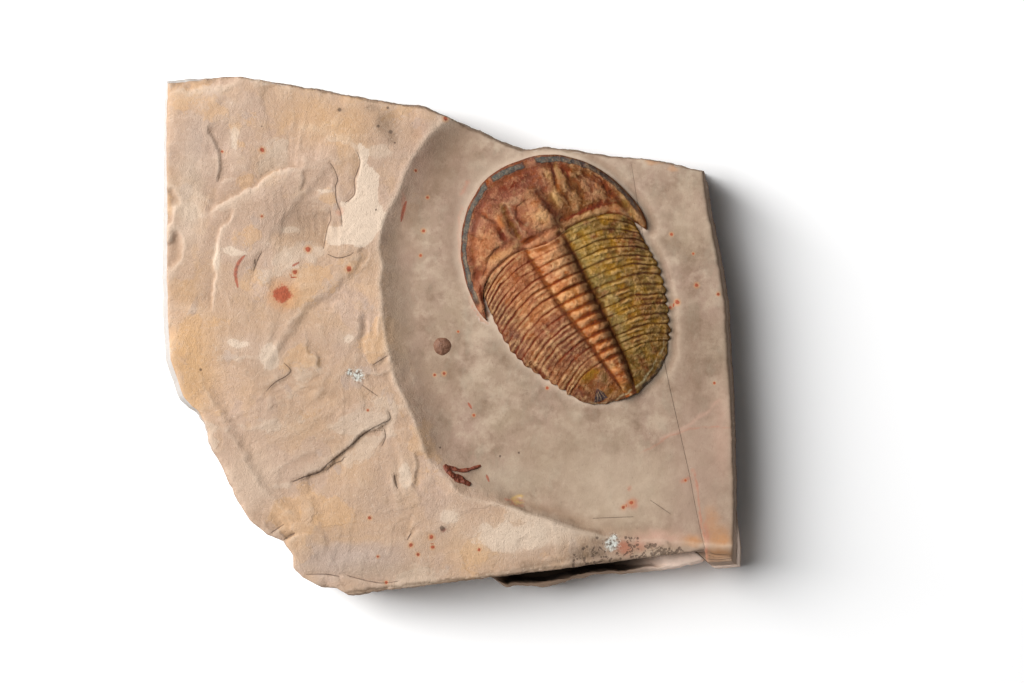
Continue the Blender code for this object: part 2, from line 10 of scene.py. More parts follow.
import bpy
import numpy as np
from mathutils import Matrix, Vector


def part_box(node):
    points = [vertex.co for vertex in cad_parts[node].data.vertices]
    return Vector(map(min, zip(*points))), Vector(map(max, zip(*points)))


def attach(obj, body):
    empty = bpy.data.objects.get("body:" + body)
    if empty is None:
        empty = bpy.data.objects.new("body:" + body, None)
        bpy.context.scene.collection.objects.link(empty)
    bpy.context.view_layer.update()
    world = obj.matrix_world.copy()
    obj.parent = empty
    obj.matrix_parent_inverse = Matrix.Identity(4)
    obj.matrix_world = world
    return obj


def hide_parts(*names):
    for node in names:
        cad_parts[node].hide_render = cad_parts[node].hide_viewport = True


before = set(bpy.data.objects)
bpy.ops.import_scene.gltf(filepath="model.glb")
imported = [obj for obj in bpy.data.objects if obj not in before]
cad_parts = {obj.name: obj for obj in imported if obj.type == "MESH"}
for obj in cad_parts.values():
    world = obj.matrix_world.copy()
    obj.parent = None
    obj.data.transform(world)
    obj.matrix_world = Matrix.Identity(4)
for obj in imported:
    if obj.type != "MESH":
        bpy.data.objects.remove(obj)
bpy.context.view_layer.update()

bl_info = {
    "name": "Trilobite looks",
    "version": (1, 0, 0),
    "blender": (4, 5, 0),
    "location": "View3D > Sidebar > Trilobite",
    "description": "The stone, the fossil, the small shells and the stage of a trilobite slab",
    "category": "Object",
}

MM = 0.001

# ---------------------------------------------------------------- the slab's plan, in millimetres

FRONT_EDGE = [(-17.7, -44.7), (-8.8, -43.6), (6.5, -41.7), (25.2, -39.4), (37.4, -37.9),
              (43, -37.1), (43.5, -39.3), (47.8, -39.1)]
RIGHT_EDGE = [(47.8, -39.1), (48.1, -28.6), (47.5, -11.6), (46.4, 5.4), (44.9, 14.6),
              (43.6, 20.6), (42.7, 27.4)]
BACK_EDGE = [(-48.3, 42.3), (-42.8, 42.8), (-36.4, 43.5), (-29.2, 42.3), (-22.1, 41), (-13.1, 39.3),
             (-4.6, 38.1), (-1.2, 36.7), (3.1, 34.7), (8.2, 32.4), (11.9, 31), (16.4, 31.3),
             (22.6, 30.6), (26.4, 29.8), (33.7, 29.4), (38.8, 28.4), (42.7, 27.4)]
LEFT_EDGE = [(-17.7, -44.7), (-19.9, -43.4), (-22.1, -43.4), (-25.4, -41.7), (-27, -40),
             (-27, -37.9), (-28.7, -35.5), (-31.3, -34.5), (-34.3, -32.1), (-36, -29.4),
             (-38.8, -23.8), (-41.3, -18.4), (-41.8, -15.8), (-43.2, -13.4), (-45.6, -11.2),
             (-46.8, -7.8), (-47.9, -4.8), (-48.3, 0.3), (-48.5, 10.5), (-48.5, 22.4),
             (-48.6, 36), (-48.3, 42.3)]
BED_BOTTOM = 12.6         # underside of the upper bed
RECESS = 3.2              # how far the gap between the beds goes in
# How far each wall, the right front corner and the front shelf stand out at the base.
LEFT_OUT, BACK_OUT, RIGHT_OUT, CORNER_OUT, SHELF_OUT = 2.5, 0.9, 1.7, 3, 3.1

# The crest of the dish's wall, from the back edge round to where it fades out at the front.
RIM = [(-1, 35.7), (-3.5, 33.8), (-5.9, 30.7), (-8, 26.5), (-9.7, 22.3), (-11.3, 19.9), (-11.8, 17.5),
       (-12.3, 15.7), (-12.3, 13.3), (-11.8, 11.2), (-12.1, 8.5), (-11.8, 5.3), (-11.9, 3.7), (-11.5, -0.1),
       (-10.7, -3.5), (-9.8, -7.6), (-8.1, -11.1), (-6.6, -14.5), (-5.2, -18.3), (-4.3, -20.9),
       (-2, -23.6), (-0.1, -25.5), (1.8, -27.8), (8.2, -29.3), (15, -31.6), (25.2, -34.7), (36, -35.6)]

# Lines where a step of the face is also cracked.
FRONT_LEDGE = [(-10.7, -13.5), (-10.5, -14.9), (-11.9, -15.6), (-13.8, -16.6), (-15.7, -17.9),
               (-17.2, -19.4), (-19.1, -20.9), (-21, -22.4), (-22.5, -23.8), (-25.2, -24.7), (-27.1, -25.5)]
FLAKE_SIDE = [(-18.2, 22), (-17.2, 22.7), (-16.5, 23.7), (-16.6, 25.8), (-16.1, 27.2), (-15.6, 28.9),
              (-16.1, 30.7)]
HOLLOW_SIDE = [(-21.9, 14), (-21.2, 17.8), (-20.6, 19.2), (-20.8, 20.9)]
LEFT_CHIP = [(-28.6, -5.2), (-27.4, -6.5), (-28.2, -7.5), (-30.1, -8.6), (-31.6, -10.1)]
FRONT_LINE = [(-24.8, -41.2), (-21.4, -41.2), (-19.1, -41.6), (-17.9, -41.4), (-14.9, -42.2),
              (-11.9, -42.7), (-9.2, -42.4)]
LEFT_NICKS = [(-28.6, -35.3), (-26.7, -34.2)], [(-30.8, -34.2), (-28.6, -32.7)]
TONGUE = [(-9.8, -24.3), (-9.4, -26.2), (-9.2, -26.6)]

# Steps of the flaked face: crest points with the low side on their left, drop, reach, softness.
STEPS = [
    ([(-41.5, 20.1), (-39.2, 21.8), (-37.3, 23), (-35, 24.1), (-32.6, 25.6), (-31.2, 26.8), (-29.1, 27.7),
      (-27.1, 27.9), (-25.3, 27.5)], 0.85, 6, 0.35),
    ([(-25.3, 27.5), (-25.1, 26.5), (-25.8, 25.3), (-25.7, 24.1)], 0.25, 3, 0.2),
    ([(-20, 29.5), (-26.5, 22.5), (-31, 16)], 0.25, 6, 1.2),
    ([(-41, 3), (-40.3, 9.2), (-40.4, 12.3), (-39.9, 14.4), (-39.4, 16.8), (-39, 18.2), (-38.2, 18.5),
      (-37.3, 19.6), (-37.1, 22)], 0.55, 5, 0.3), (FRONT_LEDGE, 0.6, 8, 0.16),
    ([(-13.6, 14), (-20, 8), (-26, 3), (-33, -8)], 0.35, 7, 1.2),
    ([(-42.6, -8), (-38, -16), (-33, -25), (-25, -33)], 0.5, 6, 1.6),
    ([(-42.1, 35.3), (-40.9, 33.1), (-39.9, 30.7), (-39.4, 28.8), (-39.5, 27.2), (-40.2, 25.6),
      (-39.4, 24.6)], 0.4, 4, 0.22), (HOLLOW_SIDE, 0.35, 3, 0.2),
    ([(-16.3, 10.5), (-14.9, 11.9), (-14.2, 13.7), (-14.9, 14.7), (-16.6, 13.7)], 0.3, 2.5, 0.2),
    (FLAKE_SIDE, 0.22, 3.5, 0.15), ([(-24.1, 22.9), (-22, 24.2), (-19.8, 25.6)], 0.2, 1.5, 0.15),
    ([(-48, 41.1), (-41.3, 41.2), (-39.2, 41.6), (-37.1, 42.5), (-35.7, 43.2)], 0.9, 9, 1.4),
    ([(-48.2, 17.5), (-47.2, 20.9), (-46.1, 22.3), (-48, 25.5)], 0.9, 9, 1.2),
    ([(-48.3, 9.8), (-46.8, 11.2), (-46, 14), (-46.1, 16.8), (-48, 17.5)], 0.8, 9, 1.2),
    ([(-14.9, -4.2), (-14.7, -0.8), (-14.3, 2.6)], 0.25, 1.6, 0.3),
    ([(-12.6, -1.2), (-12.6, 1.5), (-12.4, 3.7)], 0.22, 1.2, 0.3),
    ([(-10.9, -4), (-13.4, -5.6)], 0.3, 1.8, 0.18), ([(-10.4, -6.9), (-14.5, -7.6)], 0.25, 2, 0.18),
    (LEFT_CHIP, 0.25, 2.5, 0.2), ([(-24.4, -3.8), (-23.1, -3.7), (-22.9, -5), (-23.4, -5.9)], 0.4, 2, 0.35),
    ([(-6.6, -20.5), (-5.8, -22.8), (-6.2, -25.1), (-7.3, -26.2)], 0.35, 2.5, 0.3), (TONGUE, 0.3, 2, 0.2),
    ([(-7.9, -35.3), (-7.3, -33.8), (-6.8, -34.6)], 0.3, 1.5, 0.18), (FRONT_LINE, 0.22, 3, 0.2),
    (LEFT_NICKS[0], 0.45, 2, 0.2), (LEFT_NICKS[1], 0.35, 2, 0.2)]
# Swellings and hollows of the face: middle, radius, height.
LUMPS = [(-24, 18.5, 5, -0.9), (-38, 33, 8, 0.4), (-30, -4, 9, 0.35),
         (-17, 33, 6, 0.3), (-20, -36, 9, -0.5), (-44, 24, 4, -0.7),
         (-19, 14, 2.2, 0.25), (-33.5, 11, 2.4, -0.3), (-15.5, -26, 3, 0.3)]

# Rippled places: middle, reach, direction of the ripples in degrees, their length and spacing, height.
RIPPLES = [(-28, -14, 9, 22, 6, 0.8, 0.22), (-13.8, 1, 4.5, 86, 6, 1.1, 0.45),
           (-8.5, -26, 5, 104, 4, 1.3, 0.4), (-21.8, 18, 2.6, 92, 5, 0.45, 0.3),
           (-30, 3, 7, 70, 5, 1.2, 0.26), (-41, -6, 6, 110, 7, 1, 0.2),
           (-20, -8, 6, 60, 3, 1.4, 0.3), (-16, -38, 7, 8, 5, 1, 0.14),
           (-36, 38, 8, 60, 5, 1.4, 0.16)]

# Thin cracks: points and half width.
CRACKS = [
    (FRONT_LEDGE, 0.17), (LEFT_CHIP, 0.09), (FLAKE_SIDE, 0.09), (HOLLOW_SIDE, 0.09), (TONGUE, 0.13),
    (FRONT_LINE[:3], 0.09), (FRONT_LINE[3:], 0.07), (LEFT_NICKS[0], 0.2), (LEFT_NICKS[1], 0.12),
    ([(-21.4, -23.6), (-19.8, -22.3), (-18.7, -21.9), (-18.3, -21.1)], 0.08),
    ([(-11.5, -16.4), (-11.3, -17.9), (-11.9, -19.4)], 0.1),
    ([(-20.8, 28.9), (-19.9, 27.5), (-19.4, 25.8), (-19.8, 24.8), (-19.6, 22.3), (-18.9, 20.3),
      (-18.7, 18)], 0.1), ([(-32.4, 13.5), (-33, 12.3), (-33.8, 10.2)], 0.13),
    ([(-33.6, 12.4), (-33.4, 11.3)], 0.07),
    ([(30.6, 28.7), (31.6, 22.4), (33.4, 11.5), (35.4, 0.3), (36.7, -7.3), (38.8, -16.7), (40.5, -24.3),
      (41.3, -28.6), (42.7, -35.4), (43.2, -37.1)], 0.065),
    ([(43.9, -37.6), (45.2, -38), (47.8, -38.1)], 0.09),
    ([(43.5, -38.7), (45.4, -38.9), (47.8, -38.6)], 0.07), ([(-15.3, -9), (-12.6, -10.9)], 0.06),
    ([(-21.2, 13.3), (-19.4, 12.6), (-17.3, 13.1), (-16.6, 13.7)], 0.08),
    ([(-13.4, -5.6), (-10.9, -4)], 0.1), ([(-7.6, -35.4), (-7, -34.3)], 0.13),
    ([(23.8, -31.8), (31.1, -31.5)], 0.05), ([(33.7, -28.6), (37.4, -31.1)], 0.05)]

# Rust-red streaks: points and half width. Rust-red flecks and dark pits: place and radius.
STREAKS = [([(-35.2, 13.1), (-36.4, 11.6), (-36.8, 9.8), (-36.4, 7.6)], 0.3),
           ([(-7.8, 22.3), (-8.3, 20.8), (-8.7, 18.9)], 0.28), ([(2.7, -12), (3.3, -13.1)], 0.2),
           ([(5.8, -24.3), (6.3, -25.5)], 0.2), ([(-27.2, 11.2), (-26, 11.9)], 0.2)]
FLECKS = [
    (-28.8, 6.4, 1.6), (-24.5, 14.1, 0.45), (-26.7, 10.2, 0.4), (-17.5, 10.7, 0.45), (-32.3, 31, 0.42),
    (-39.1, 30.7, 0.2), (-1.1, 36.3, 0.4), (-6.2, 27.5, 0.22), (-4.2, 23, 0.25), (-4.9, 17.3, 0.3),
    (-5.4, 13.1, 0.24), (-32.3, 19.7, 0.24), (-14, -31.6, 0.3), (-7, -36.2, 0.34), (-3.5, -34.9, 0.38),
    (-3.3, -36.6, 0.3), (-5.8, -37.8, 0.27), (-12.6, -38.2, 0.23), (-11.2, -42.6, 0.23), (4.6, -37, 0.27),
    (-14.3, -13.3, 0.2), (-1.4, -7.1, 0.3), (-3, -7.3, 0.22), (1, 0.1, 0.18), (3.7, -14.2, 0.23),
    (16.2, -9.5, 0.24), (37.4, 16.7, 0.27), (41.1, 13.4, 0.2), (41.7, 8, 0.34), (45.4, 6.5, 0.27),
    (38.4, 5.1, 0.37), (37.2, 4.2, 0.27), (44.7, -8.7, 0.2), (39.8, -25.3, 0.2), (30.6, -29.1, 0.31),
    (29.2, -29.9, 0.27)]
PITS = [
    (-12.9, 20.8, 0.2), (-32.3, 35, 0.14), (-19.1, 37.8, 0.35), (-10.4, 34, 0.4), (-12.5, 35, 0.28),
    (-9.7, 32.2, 0.2), (-10.9, 38.1, 0.25), (-1.6, -33.4, 0.46), (-42.7, -6.4, 0.26), (-2, -19.7, 0.19),
    (11.4, -20.6, 0.22), (8.2, -21.2, 0.22), (-16.1, -7.8, 0.3), (27.2, -36.2, 0.25)]
# Sparkling crystals: place and reach.
CRYSTALS = [(-16, -7.4, 1.1), (27.2, -36.1, 1.3), (-17.4, -6.9, 0.7), (27.6, -34.9, 0.6)]
SPECKS = 90                # little dark specks along the front edge

# Coloured places of the face: middle, reach across and along, strength.
OCHRE = [(-44.5, -6, 5, 9, 0.9), (-28, -31, 6, 3.2, 1), (-18, -35.4, 7.5, 0.7, 0.7),
         (-25, 33.5, 9, 4, 0.5), (-45.5, 10, 3, 8, 0.6), (-20, -33, 8, 3, 0.35),
         (44.5, -33, 3, 4, 0.5), (39.5, -35, 4, 1.6, 0.7), (-35, -22, 5, 7, 0.35),
         (2, -38, 8, 3, 0.35), (-22, -20, 9, 5, 0.2)]
LILAC = [(-43, 33, 3.2, 7, 0.9), (-42.5, 27, 2.6, 3, 0.6), (-16, -38.5, 11, 3.4, 1),
         (-25, -38, 3, 3, 0.8), (-45.5, 18, 2.2, 5, 0.5), (-12, -30, 3, 3, 0.4)]
# The first two brown patches lie in the hollow at (-24, 18.5): partly the stone's own brown, partly painted
# shade.
BROWN = [(-24, 18.5, 4.2, 4.6, 1), (-21.8, 17, 1.8, 3.4, 0.8), (-47, 20.5, 1.4, 3, 1),
         (-35.5, 21, 3.5, 2, 0.35), (-30.5, 7.8, 0.5, 2.2, 1), (-12.5, 34.5, 3.6, 3, 0.35),
         (18, -38.5, 7, 2.4, 0.5), (-15, 12.5, 1.8, 1.6, 0.5), (-47, 13.5, 1.4, 3.4, 0.7)]
CREAM = [(-37.5, 39, 3, 1.2, 0.5), (-37, 33, 1, 3, 0.7), (-37, 13.8, 2.6, 0.9, 0.9),
         (-27.5, 17.5, 2.2, 0.8, 0.9), (-31.3, 15.2, 1, 0.9, 0.6), (-40.2, 12.5, 0.7, 3.5, 0.9),
         (-31, -4.2, 2.2, 2.6, 1), (-36.5, -2, 2.6, 1.2, 0.8), (-18, -1, 1.2, 1.4, 0.7),
         (10, -35, 8, 3.2, 0.9), (-8, -24.5, 1.5, 3, 0.8), (-28, 12, 3, 3, 0.5),
         (-22, 24.2, 2.4, 0.35, 0.8), (-29, -16, 5, 3, 0.35), (0, -31.5, 2.6, 2.2, 0.7)]
# The outline of the one large cream flake.
CREAM_FLAKE = [(-16.3, 31.7), (-15.6, 32.1), (-14.4, 31), (-14.2, 29.3), (-14, 28.1), (-12.8, 27.2),
               (-12.3, 25.1), (-12.5, 22.3), (-11.4, 20.6), (-11.4, 18.9), (-12.8, 16.8), (-13.4, 15.1),
               (-14.9, 14), (-16.6, 14.4), (-18.7, 14.9), (-20.8, 15.1), (-21.5, 15.7), (-20.8, 17.8),
               (-18.9, 18.2), (-18.6, 20.3), (-19.1, 22.3), (-17.9, 22), (-16.5, 23.7), (-16.5, 25.8),
               (-16.1, 26.8), (-15.6, 28.6), (-16, 30.7), (-16.3, 31.7)]

# ------------------------------------------------- the trilobite's plan, in its own frame
# t runs across it and s towards its tail, both in steps of STEP millimetres. The lists of its axis and
# margins have one entry for each segment's front edge, and one for the last segment's rear edge.

STEP = 0.17
FOSSIL_AT = (20.06, 8.5)
FOSSIL_TURN = math.radians(25)
SEGMENTS = 13
AXIS_S = [-47, -36, -26, -16.5, -5.5, 5.5, 16.5, 27.5, 38, 48, 58.5, 68, 77, 86]
AXIS_T = [-5.9, -5.3, -4.4, -3.5, -2.7, -1.8, -0.6, 0.6, 1.8, 2.9, 4.1, 5.3, 6.2, 7.1]
AXIS_HALF = [21, 21, 20.6, 20, 19.2, 18.2, 17.4, 16.5, 15.6, 14.7, 13.6, 12.4, 11.8, 11.2]
LEFT_T = [-84, -85, -84.5, -84.5, -84, -82, -80, -77, -72, -66.5, -60.5, -55, -49, -47]
LEFT_S = [-20, -11, -1.5, 8, 18.5, 30, 41, 51, 61, 70.5, 79.5, 88, 96, 102]
RIGHT_T = [84, 84.5, 85, 85.5, 86, 86, 85, 83.5, 81, 78, 75, 71, 67.5, 64]
RIGHT_S = [-24, -14, -5, 4, 13, 22, 31, 41, 51, 60.5, 70, 79, 88, 94]
# The tail shield behind the thorax: row number, axis middle, half width, left and right margins.
TAIL = [(14, (8.2, 96), 10, (-41.8, 110.6), (58.8, 105.3)),
        (15, (8.2, 107), 8.2, (-31.2, 120.6), (48.2, 115.3)),
        (16, (8.8, 117), 7.1, (-17.1, 126.5), (34.1, 121.8)),
        (16.8, (8.2, 129.1), 5.9, (-1.8, 128.8), (18.2, 127.6))]
HEAD_FRONT = [(-30, -130), (-20, -132), (-8, -133), (5, -132), (15, -131), (25, -129)]
HEAD_LEFT = [(-30, -130), (-40, -126), (-50, -119), (-60, -112), (-69, -102),
             (-76, -93), (-82, -82), (-88, -70), (-92, -55), (-95, -40), (-96, -20),
             (-94.5, -8), (-91.5, 1)]
HEAD_RIGHT = [(25, -129), (35, -125), (45, -120), (55, -112), (63, -105), (70, -97),
              (77, -87), (83, -76), (88, -64), (92, -52), (95, -40), (96, -30),
              (95, -22), (92, -15)]
HEAD_REAR = [(-91.5, 1), (-90, -10), (-87.5, -14), (-86, -22), (-80, -32), (-70, -40),
             (-55, -46), (-40, -49), (-24, -48), (-16, -44.5), (-6, -43), (6, -44.5),
             (14, -48), (30, -50), (50, -49), (66, -45), (77, -38), (81, -32),
             (86, -25), (92, -15)]

ROUND_SHELL_AT = (-1.7, -2.4)
ROUND_SHELL_RADIUS = 1.5
# The broken shell's arms: points, half width and height.
FRAGMENT_ARMS = [([(-1.3, -22.6), (-0.1, -24.2), (1.8, -25.3), (3.1, -26)], 0.55, 0.75),
                 ([(-0.7, -22.9), (1.8, -23.6), (4.9, -22.8)], 0.34, 0.5)]


def linear(red, green, blue):
    """A colour given in screen numbers from 0 to 255, as linear light."""
    return tuple(((c / 255.0 + 0.055) / 1.055) ** 2.4 for c in (red, green, blue))


def pigment(red, green, blue, light=1.3):
    """A surface colour that looks like the screen colour under the stage's light."""
    return tuple(c / light for c in linear(red, green, blue))


# ---------------------------------------------------------------- shapes as arrays


def plan(x, y):
    """Two coordinates as one array of places."""
    return np.stack(np.broadcast_arrays(x, y), -1)


def smooth(low, high, value):
    """0 below low, 1 above high, and the cubic rise 3p^2 - 2p^3 between."""
    part = np.clip((value - low) / (high - low), 0.0, 1.0)
    return part * part * (3.0 - 2.0 * part)


def bell(value, width):
    """A bell curve, exp(-(value / width)^2)."""
    return np.exp(-(value / width) ** 2)


def hashed(cell, seed):
    """A number from 0 to 1 for each whole-number cell, always the same for the same seed."""
    number = np.full(cell.shape[:-1], seed * 7919 + 17, np.uint64)
    for axis, prime in zip(range(cell.shape[-1]), (374761393, 668265263, 2246822519)):
        number = number + cell[..., axis].astype(np.int64).astype(np.uint64) * np.uint64(prime)
    number = (number ^ (number >> np.uint64(13))) & np.uint64(0xFFFFFFFF)
    number = (number * np.uint64(1274126177)) & np.uint64(0xFFFFFFFF)
    number = number ^ (number >> np.uint64(16))
    return (number & np.uint64(0xFFFFFF)).astype(float) / 0xFFFFFF


def noise(place, size, seed=0):
    """Smooth random values from -1 to 1: values at the corners of a lattice of the size, blended by
    p^3 (6p^2 - 15p + 10). The seed picks the pattern."""
    scaled = place / size
    cell = np.floor(scaled)
    part = scaled - cell
    part = part ** 3 * (part * (part * 6.0 - 15.0) + 10.0)
    total = np.zeros(place.shape[:-1])
    for corner in range(2 ** place.shape[-1]):
        bits = np.array([(corner >> axis) & 1 for axis in range(place.shape[-1])])
        weight = np.prod(np.where(bits == 1, part, 1.0 - part), axis=-1)
        total += weight * hashed(cell + bits, seed)
    return total * 2.0 - 1.0


def rough(place, size, octaves, seed=0, gain=0.5):
    """Noise summed over octaves, each half the size of the last and its strength times the gain."""
    total = np.zeros(place.shape[:-1])
    strength = 1.0
    for octave in range(octaves):
        total += strength * noise(place, size / 2 ** octave, seed + octave)
        strength *= gain
    return total


def spline(points, spacing=0.5):
    """A smooth curve through the points, by Catmull-Rom, as an array of places about the spacing apart."""
    points = np.asarray(points, float)
    padded = np.vstack([points[:1], points, points[-1:]])
    pieces = []
    for before, start, end, after in zip(padded, padded[1:], padded[2:], padded[3:]):
        parts = max(1, round(float(np.linalg.norm(end - start)) / spacing))
        u = (np.arange(parts) / parts)[:, None]
        bend = (2 * before - 5 * start + 4 * end - after) * u ** 2
        pieces.append(0.5 * (2 * start + (end - before) * u + bend
                             + (3 * start - before - 3 * end + after) * u ** 3))
    return np.vstack(pieces + [points[-1:]])


def carried(points, share):
    """Places at the shares 0 to 1 of a polyline's length."""
    points = np.asarray(points, float)
    run = np.concatenate([[0.0], np.cumsum(np.linalg.norm(np.diff(points, axis=0), axis=1))])
    return np.stack([np.interp(share * run[-1], run, points[:, axis]) for axis in (0, 1)], -1)


def from_curve(x, y, curve, reach=None):
    """How far places lie from a curve: distance across, positive on its left, distance beyond its
    ends, and share of its length. Only places within the reach of its box are worked out."""
    curve = np.asarray(curve, float)
    shape = x.shape
    x, y = x.ravel(), y.ravel()
    across = np.full(x.size, 99.0)
    beyond = np.full(x.size, 99.0)
    share = np.zeros(x.size)
    near = np.arange(x.size)
    if reach is not None:
        low, high = curve.min(0) - reach, curve.max(0) + reach
        near = np.flatnonzero((x > low[0]) & (x < high[0]) & (y > low[1]) & (y < high[1]))
    start, step = curve[:-1], np.diff(curve, axis=0)
    length = np.maximum(np.hypot(step[:, 0], step[:, 1]), 1e-9)
    run = np.concatenate([[0.0], np.cumsum(length)[:-1]])
    for block in np.array_split(near, max(1, near.size * len(start) // 2000000)):
        offset = plan(x[block], y[block])[:, None] - start
        along = (offset * step).sum(-1) / length
        clipped = np.clip(along, 0.0, length)
        away = offset - (clipped / length)[..., None] * step
        distance = np.hypot(away[..., 0], away[..., 1])
        nearest = distance.argmin(-1)
        rows = np.arange(block.size)
        cross = (step[:, 0] * offset[..., 1] - step[:, 1] * offset[..., 0])[rows, nearest] / length[nearest]
        before = np.where(nearest == 0, np.maximum(-along[rows, nearest], 0.0), 0.0)
        past = np.where(nearest == len(start) - 1,
                        np.maximum(along[rows, nearest] - length[nearest], 0.0), 0.0)
        outside = before + past
        signed = np.where(cross >= 0.0, 1.0, -1.0) * distance[rows, nearest]
        across[block] = np.where(outside > 0.0, cross, signed)
        beyond[block] = outside
        share[block] = (run[nearest] + clipped[rows, nearest]) / length.sum()
    return across.reshape(shape), beyond.reshape(shape), share.reshape(shape)


def inside(x, y, outline):
    """Whether places lie inside a closed outline, by counting the sides crossed on the way out."""
    outline = np.asarray(outline, float)
    crossed = np.zeros(x.shape, bool)
    for (ax, ay), (bx, by) in zip(outline, np.roll(outline, -1, 0)):
        if ay != by:
            spans = (ay > y) != (by > y)
            crossed ^= spans & (x < (bx - ax) * (y - ay) / (by - ay) + ax)
    return crossed


def depth_inside(x, y, outline):
    """Distance from a closed outline, positive inside it."""
    outline = np.asarray(outline, float)
    across, _, _ = from_curve(x, y, np.vstack([outline, outline[:1]]))
    return np.where(inside(x, y, outline), 1.0, -1.0) * np.abs(across)


def patch(x, y, places):
    """The strongest of several soft round patches, each (middle, reach across, reach along, strength)."""
    value = np.zeros(x.shape)
    for middle_x, middle_y, reach_x, reach_y, strength in places:
        away = ((x - middle_x) / reach_x) ** 2 + ((y - middle_y) / reach_y) ** 2
        value = np.maximum(value, strength * np.exp(-away))
    return value


def line_field(x, y, lines, reach=2.0):
    """Across and beyond distances from the nearest of several lines, in their half widths, which
    narrow to a third at the ends. Far from all lines it is a large value."""
    field = np.full(x.shape + (3,), 12.0)
    size = np.full(x.shape, 99.0)
    for points, half_width in lines:
        across, beyond, share = from_curve(x, y, spline(points, 0.4), reach)
        width = half_width * (0.35 + 0.65 * np.sqrt(np.clip(np.sin(math.pi * share), 0.0, 1.0)))
        scaled = np.hypot(across, beyond) / width
        better = (scaled < size) & (np.hypot(across, beyond) < reach * 0.5)
        size[better] = scaled[better]
        field[better] = np.stack([across / width, beyond / width, np.zeros(x.shape)], -1)[better]
    return field


def fleck_field(x, y, flecks):
    """Offset from the nearest fleck in its radii; a third part grows away from it, so that the
    offsets of two flecks never meet at zero between them."""
    field = np.zeros(x.shape + (3,))
    field[..., 2] = 9.0
    size = np.full(x.shape, 5.0)
    for middle_x, middle_y, radius in flecks:
        offset_x, offset_y = (x - middle_x) / radius, (y - middle_y) / radius
        distance = np.hypot(offset_x, offset_y)
        better = distance < size
        size[better] = distance[better]
        lift = np.maximum(distance - 2.0, 0.0) * 3.0
        field[better] = np.stack([offset_x, offset_y, lift], -1)[better]
    return field


def terraces(value, step, edge):
    """The value in steps: flat treads with smooth risers that take the edge's share of each step."""
    level = value / step
    base = np.floor(level)
    return step * (base + smooth(1.0 - edge, 1.0, level - base))


def grid_quads(rows, columns, start=0):
    """Corner numbers of a grid's faces, anticlockwise where columns run right and rows run up."""
    index = start + np.arange(rows * columns).reshape(rows, columns)
    return np.stack([index[:-1, :-1], index[:-1, 1:], index[1:, 1:], index[1:, :-1]], -1).reshape(-1, 4)


def rim_of(rows, columns):
    """Numbers of a grid's edge vertices, once round anticlockwise."""
    index = np.arange(rows * columns).reshape(rows, columns)
    return np.concatenate([index[0, :-1], index[:-1, -1], index[-1, :0:-1], index[:0:-1, 0]])


def closed_over(grid, rings):
    """A grid carried on below its edge through the rings and closed in a fan at their middle.
    Returns the places, the four-cornered faces and the three-cornered ones."""
    rows, columns = grid.shape[:2]
    count = rings.shape[1]
    middle = rings[-1].mean(0)
    places = np.vstack([grid.reshape(-1, 3), rings.reshape(-1, 3), middle[None]])
    below = rows * columns + np.arange(rings[..., 0].size).reshape(-1, count)
    loops = np.vstack([rim_of(rows, columns), below])
    after = np.roll(loops, -1, axis=1)
    walls = np.stack([loops[:-1], loops[1:], after[1:], after[:-1]], -1).reshape(-1, 4)
    quads = np.vstack([grid_quads(rows, columns), walls])
    fan = np.stack([loops[-1], np.full(count, len(places) - 1), after[-1]], -1)
    return places, quads, fan


def make_piece(name, places, quads, triangles, material, fields, node, slot):
    """A mesh object from arrays in the slab's frame, with its fields as attributes, riding the body."""
    mesh = bpy.data.meshes.new(name)
    moved = (places + np.array([*frame_shift(), 0.0])) * MM
    corners = np.concatenate([quads.ravel(), triangles.ravel()])
    starts = np.concatenate([np.arange(len(quads)) * 4, quads.size + np.arange(len(triangles)) * 3])
    mesh.vertices.add(len(moved))
    mesh.vertices.foreach_set("co", moved.astype(np.float32).ravel())
    mesh.loops.add(corners.size)
    mesh.loops.foreach_set("vertex_index", corners.astype(np.int32))
    mesh.polygons.add(starts.size)
    mesh.polygons.foreach_set("loop_start", starts.astype(np.int32))
    mesh.update(calc_edges=True)
    mesh.validate()
    mesh.shade_smooth()
    for label, values in fields.items():
        kind, key = ("FLOAT_VECTOR", "vector") if values.ndim == 2 else ("FLOAT", "value")
        attribute = mesh.attributes.new(label, kind, "POINT")
        attribute.data.foreach_set(key, values.astype(np.float32).ravel())
    mesh.materials.append(material)
    thing = bpy.data.objects.new(name, mesh)
    bpy.context.collection.objects.link(thing)
    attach(thing, "root")
    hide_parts(node)
    return thing


def frame_shift():
    """How far the slab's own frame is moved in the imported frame, read off the round shell's node."""
    low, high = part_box("round_shell")
    return tuple((low[axis] + high[axis]) / 2.0 / MM - ROUND_SHELL_AT[axis] for axis in (0, 1))


# ---------------------------------------------------------------- the stone


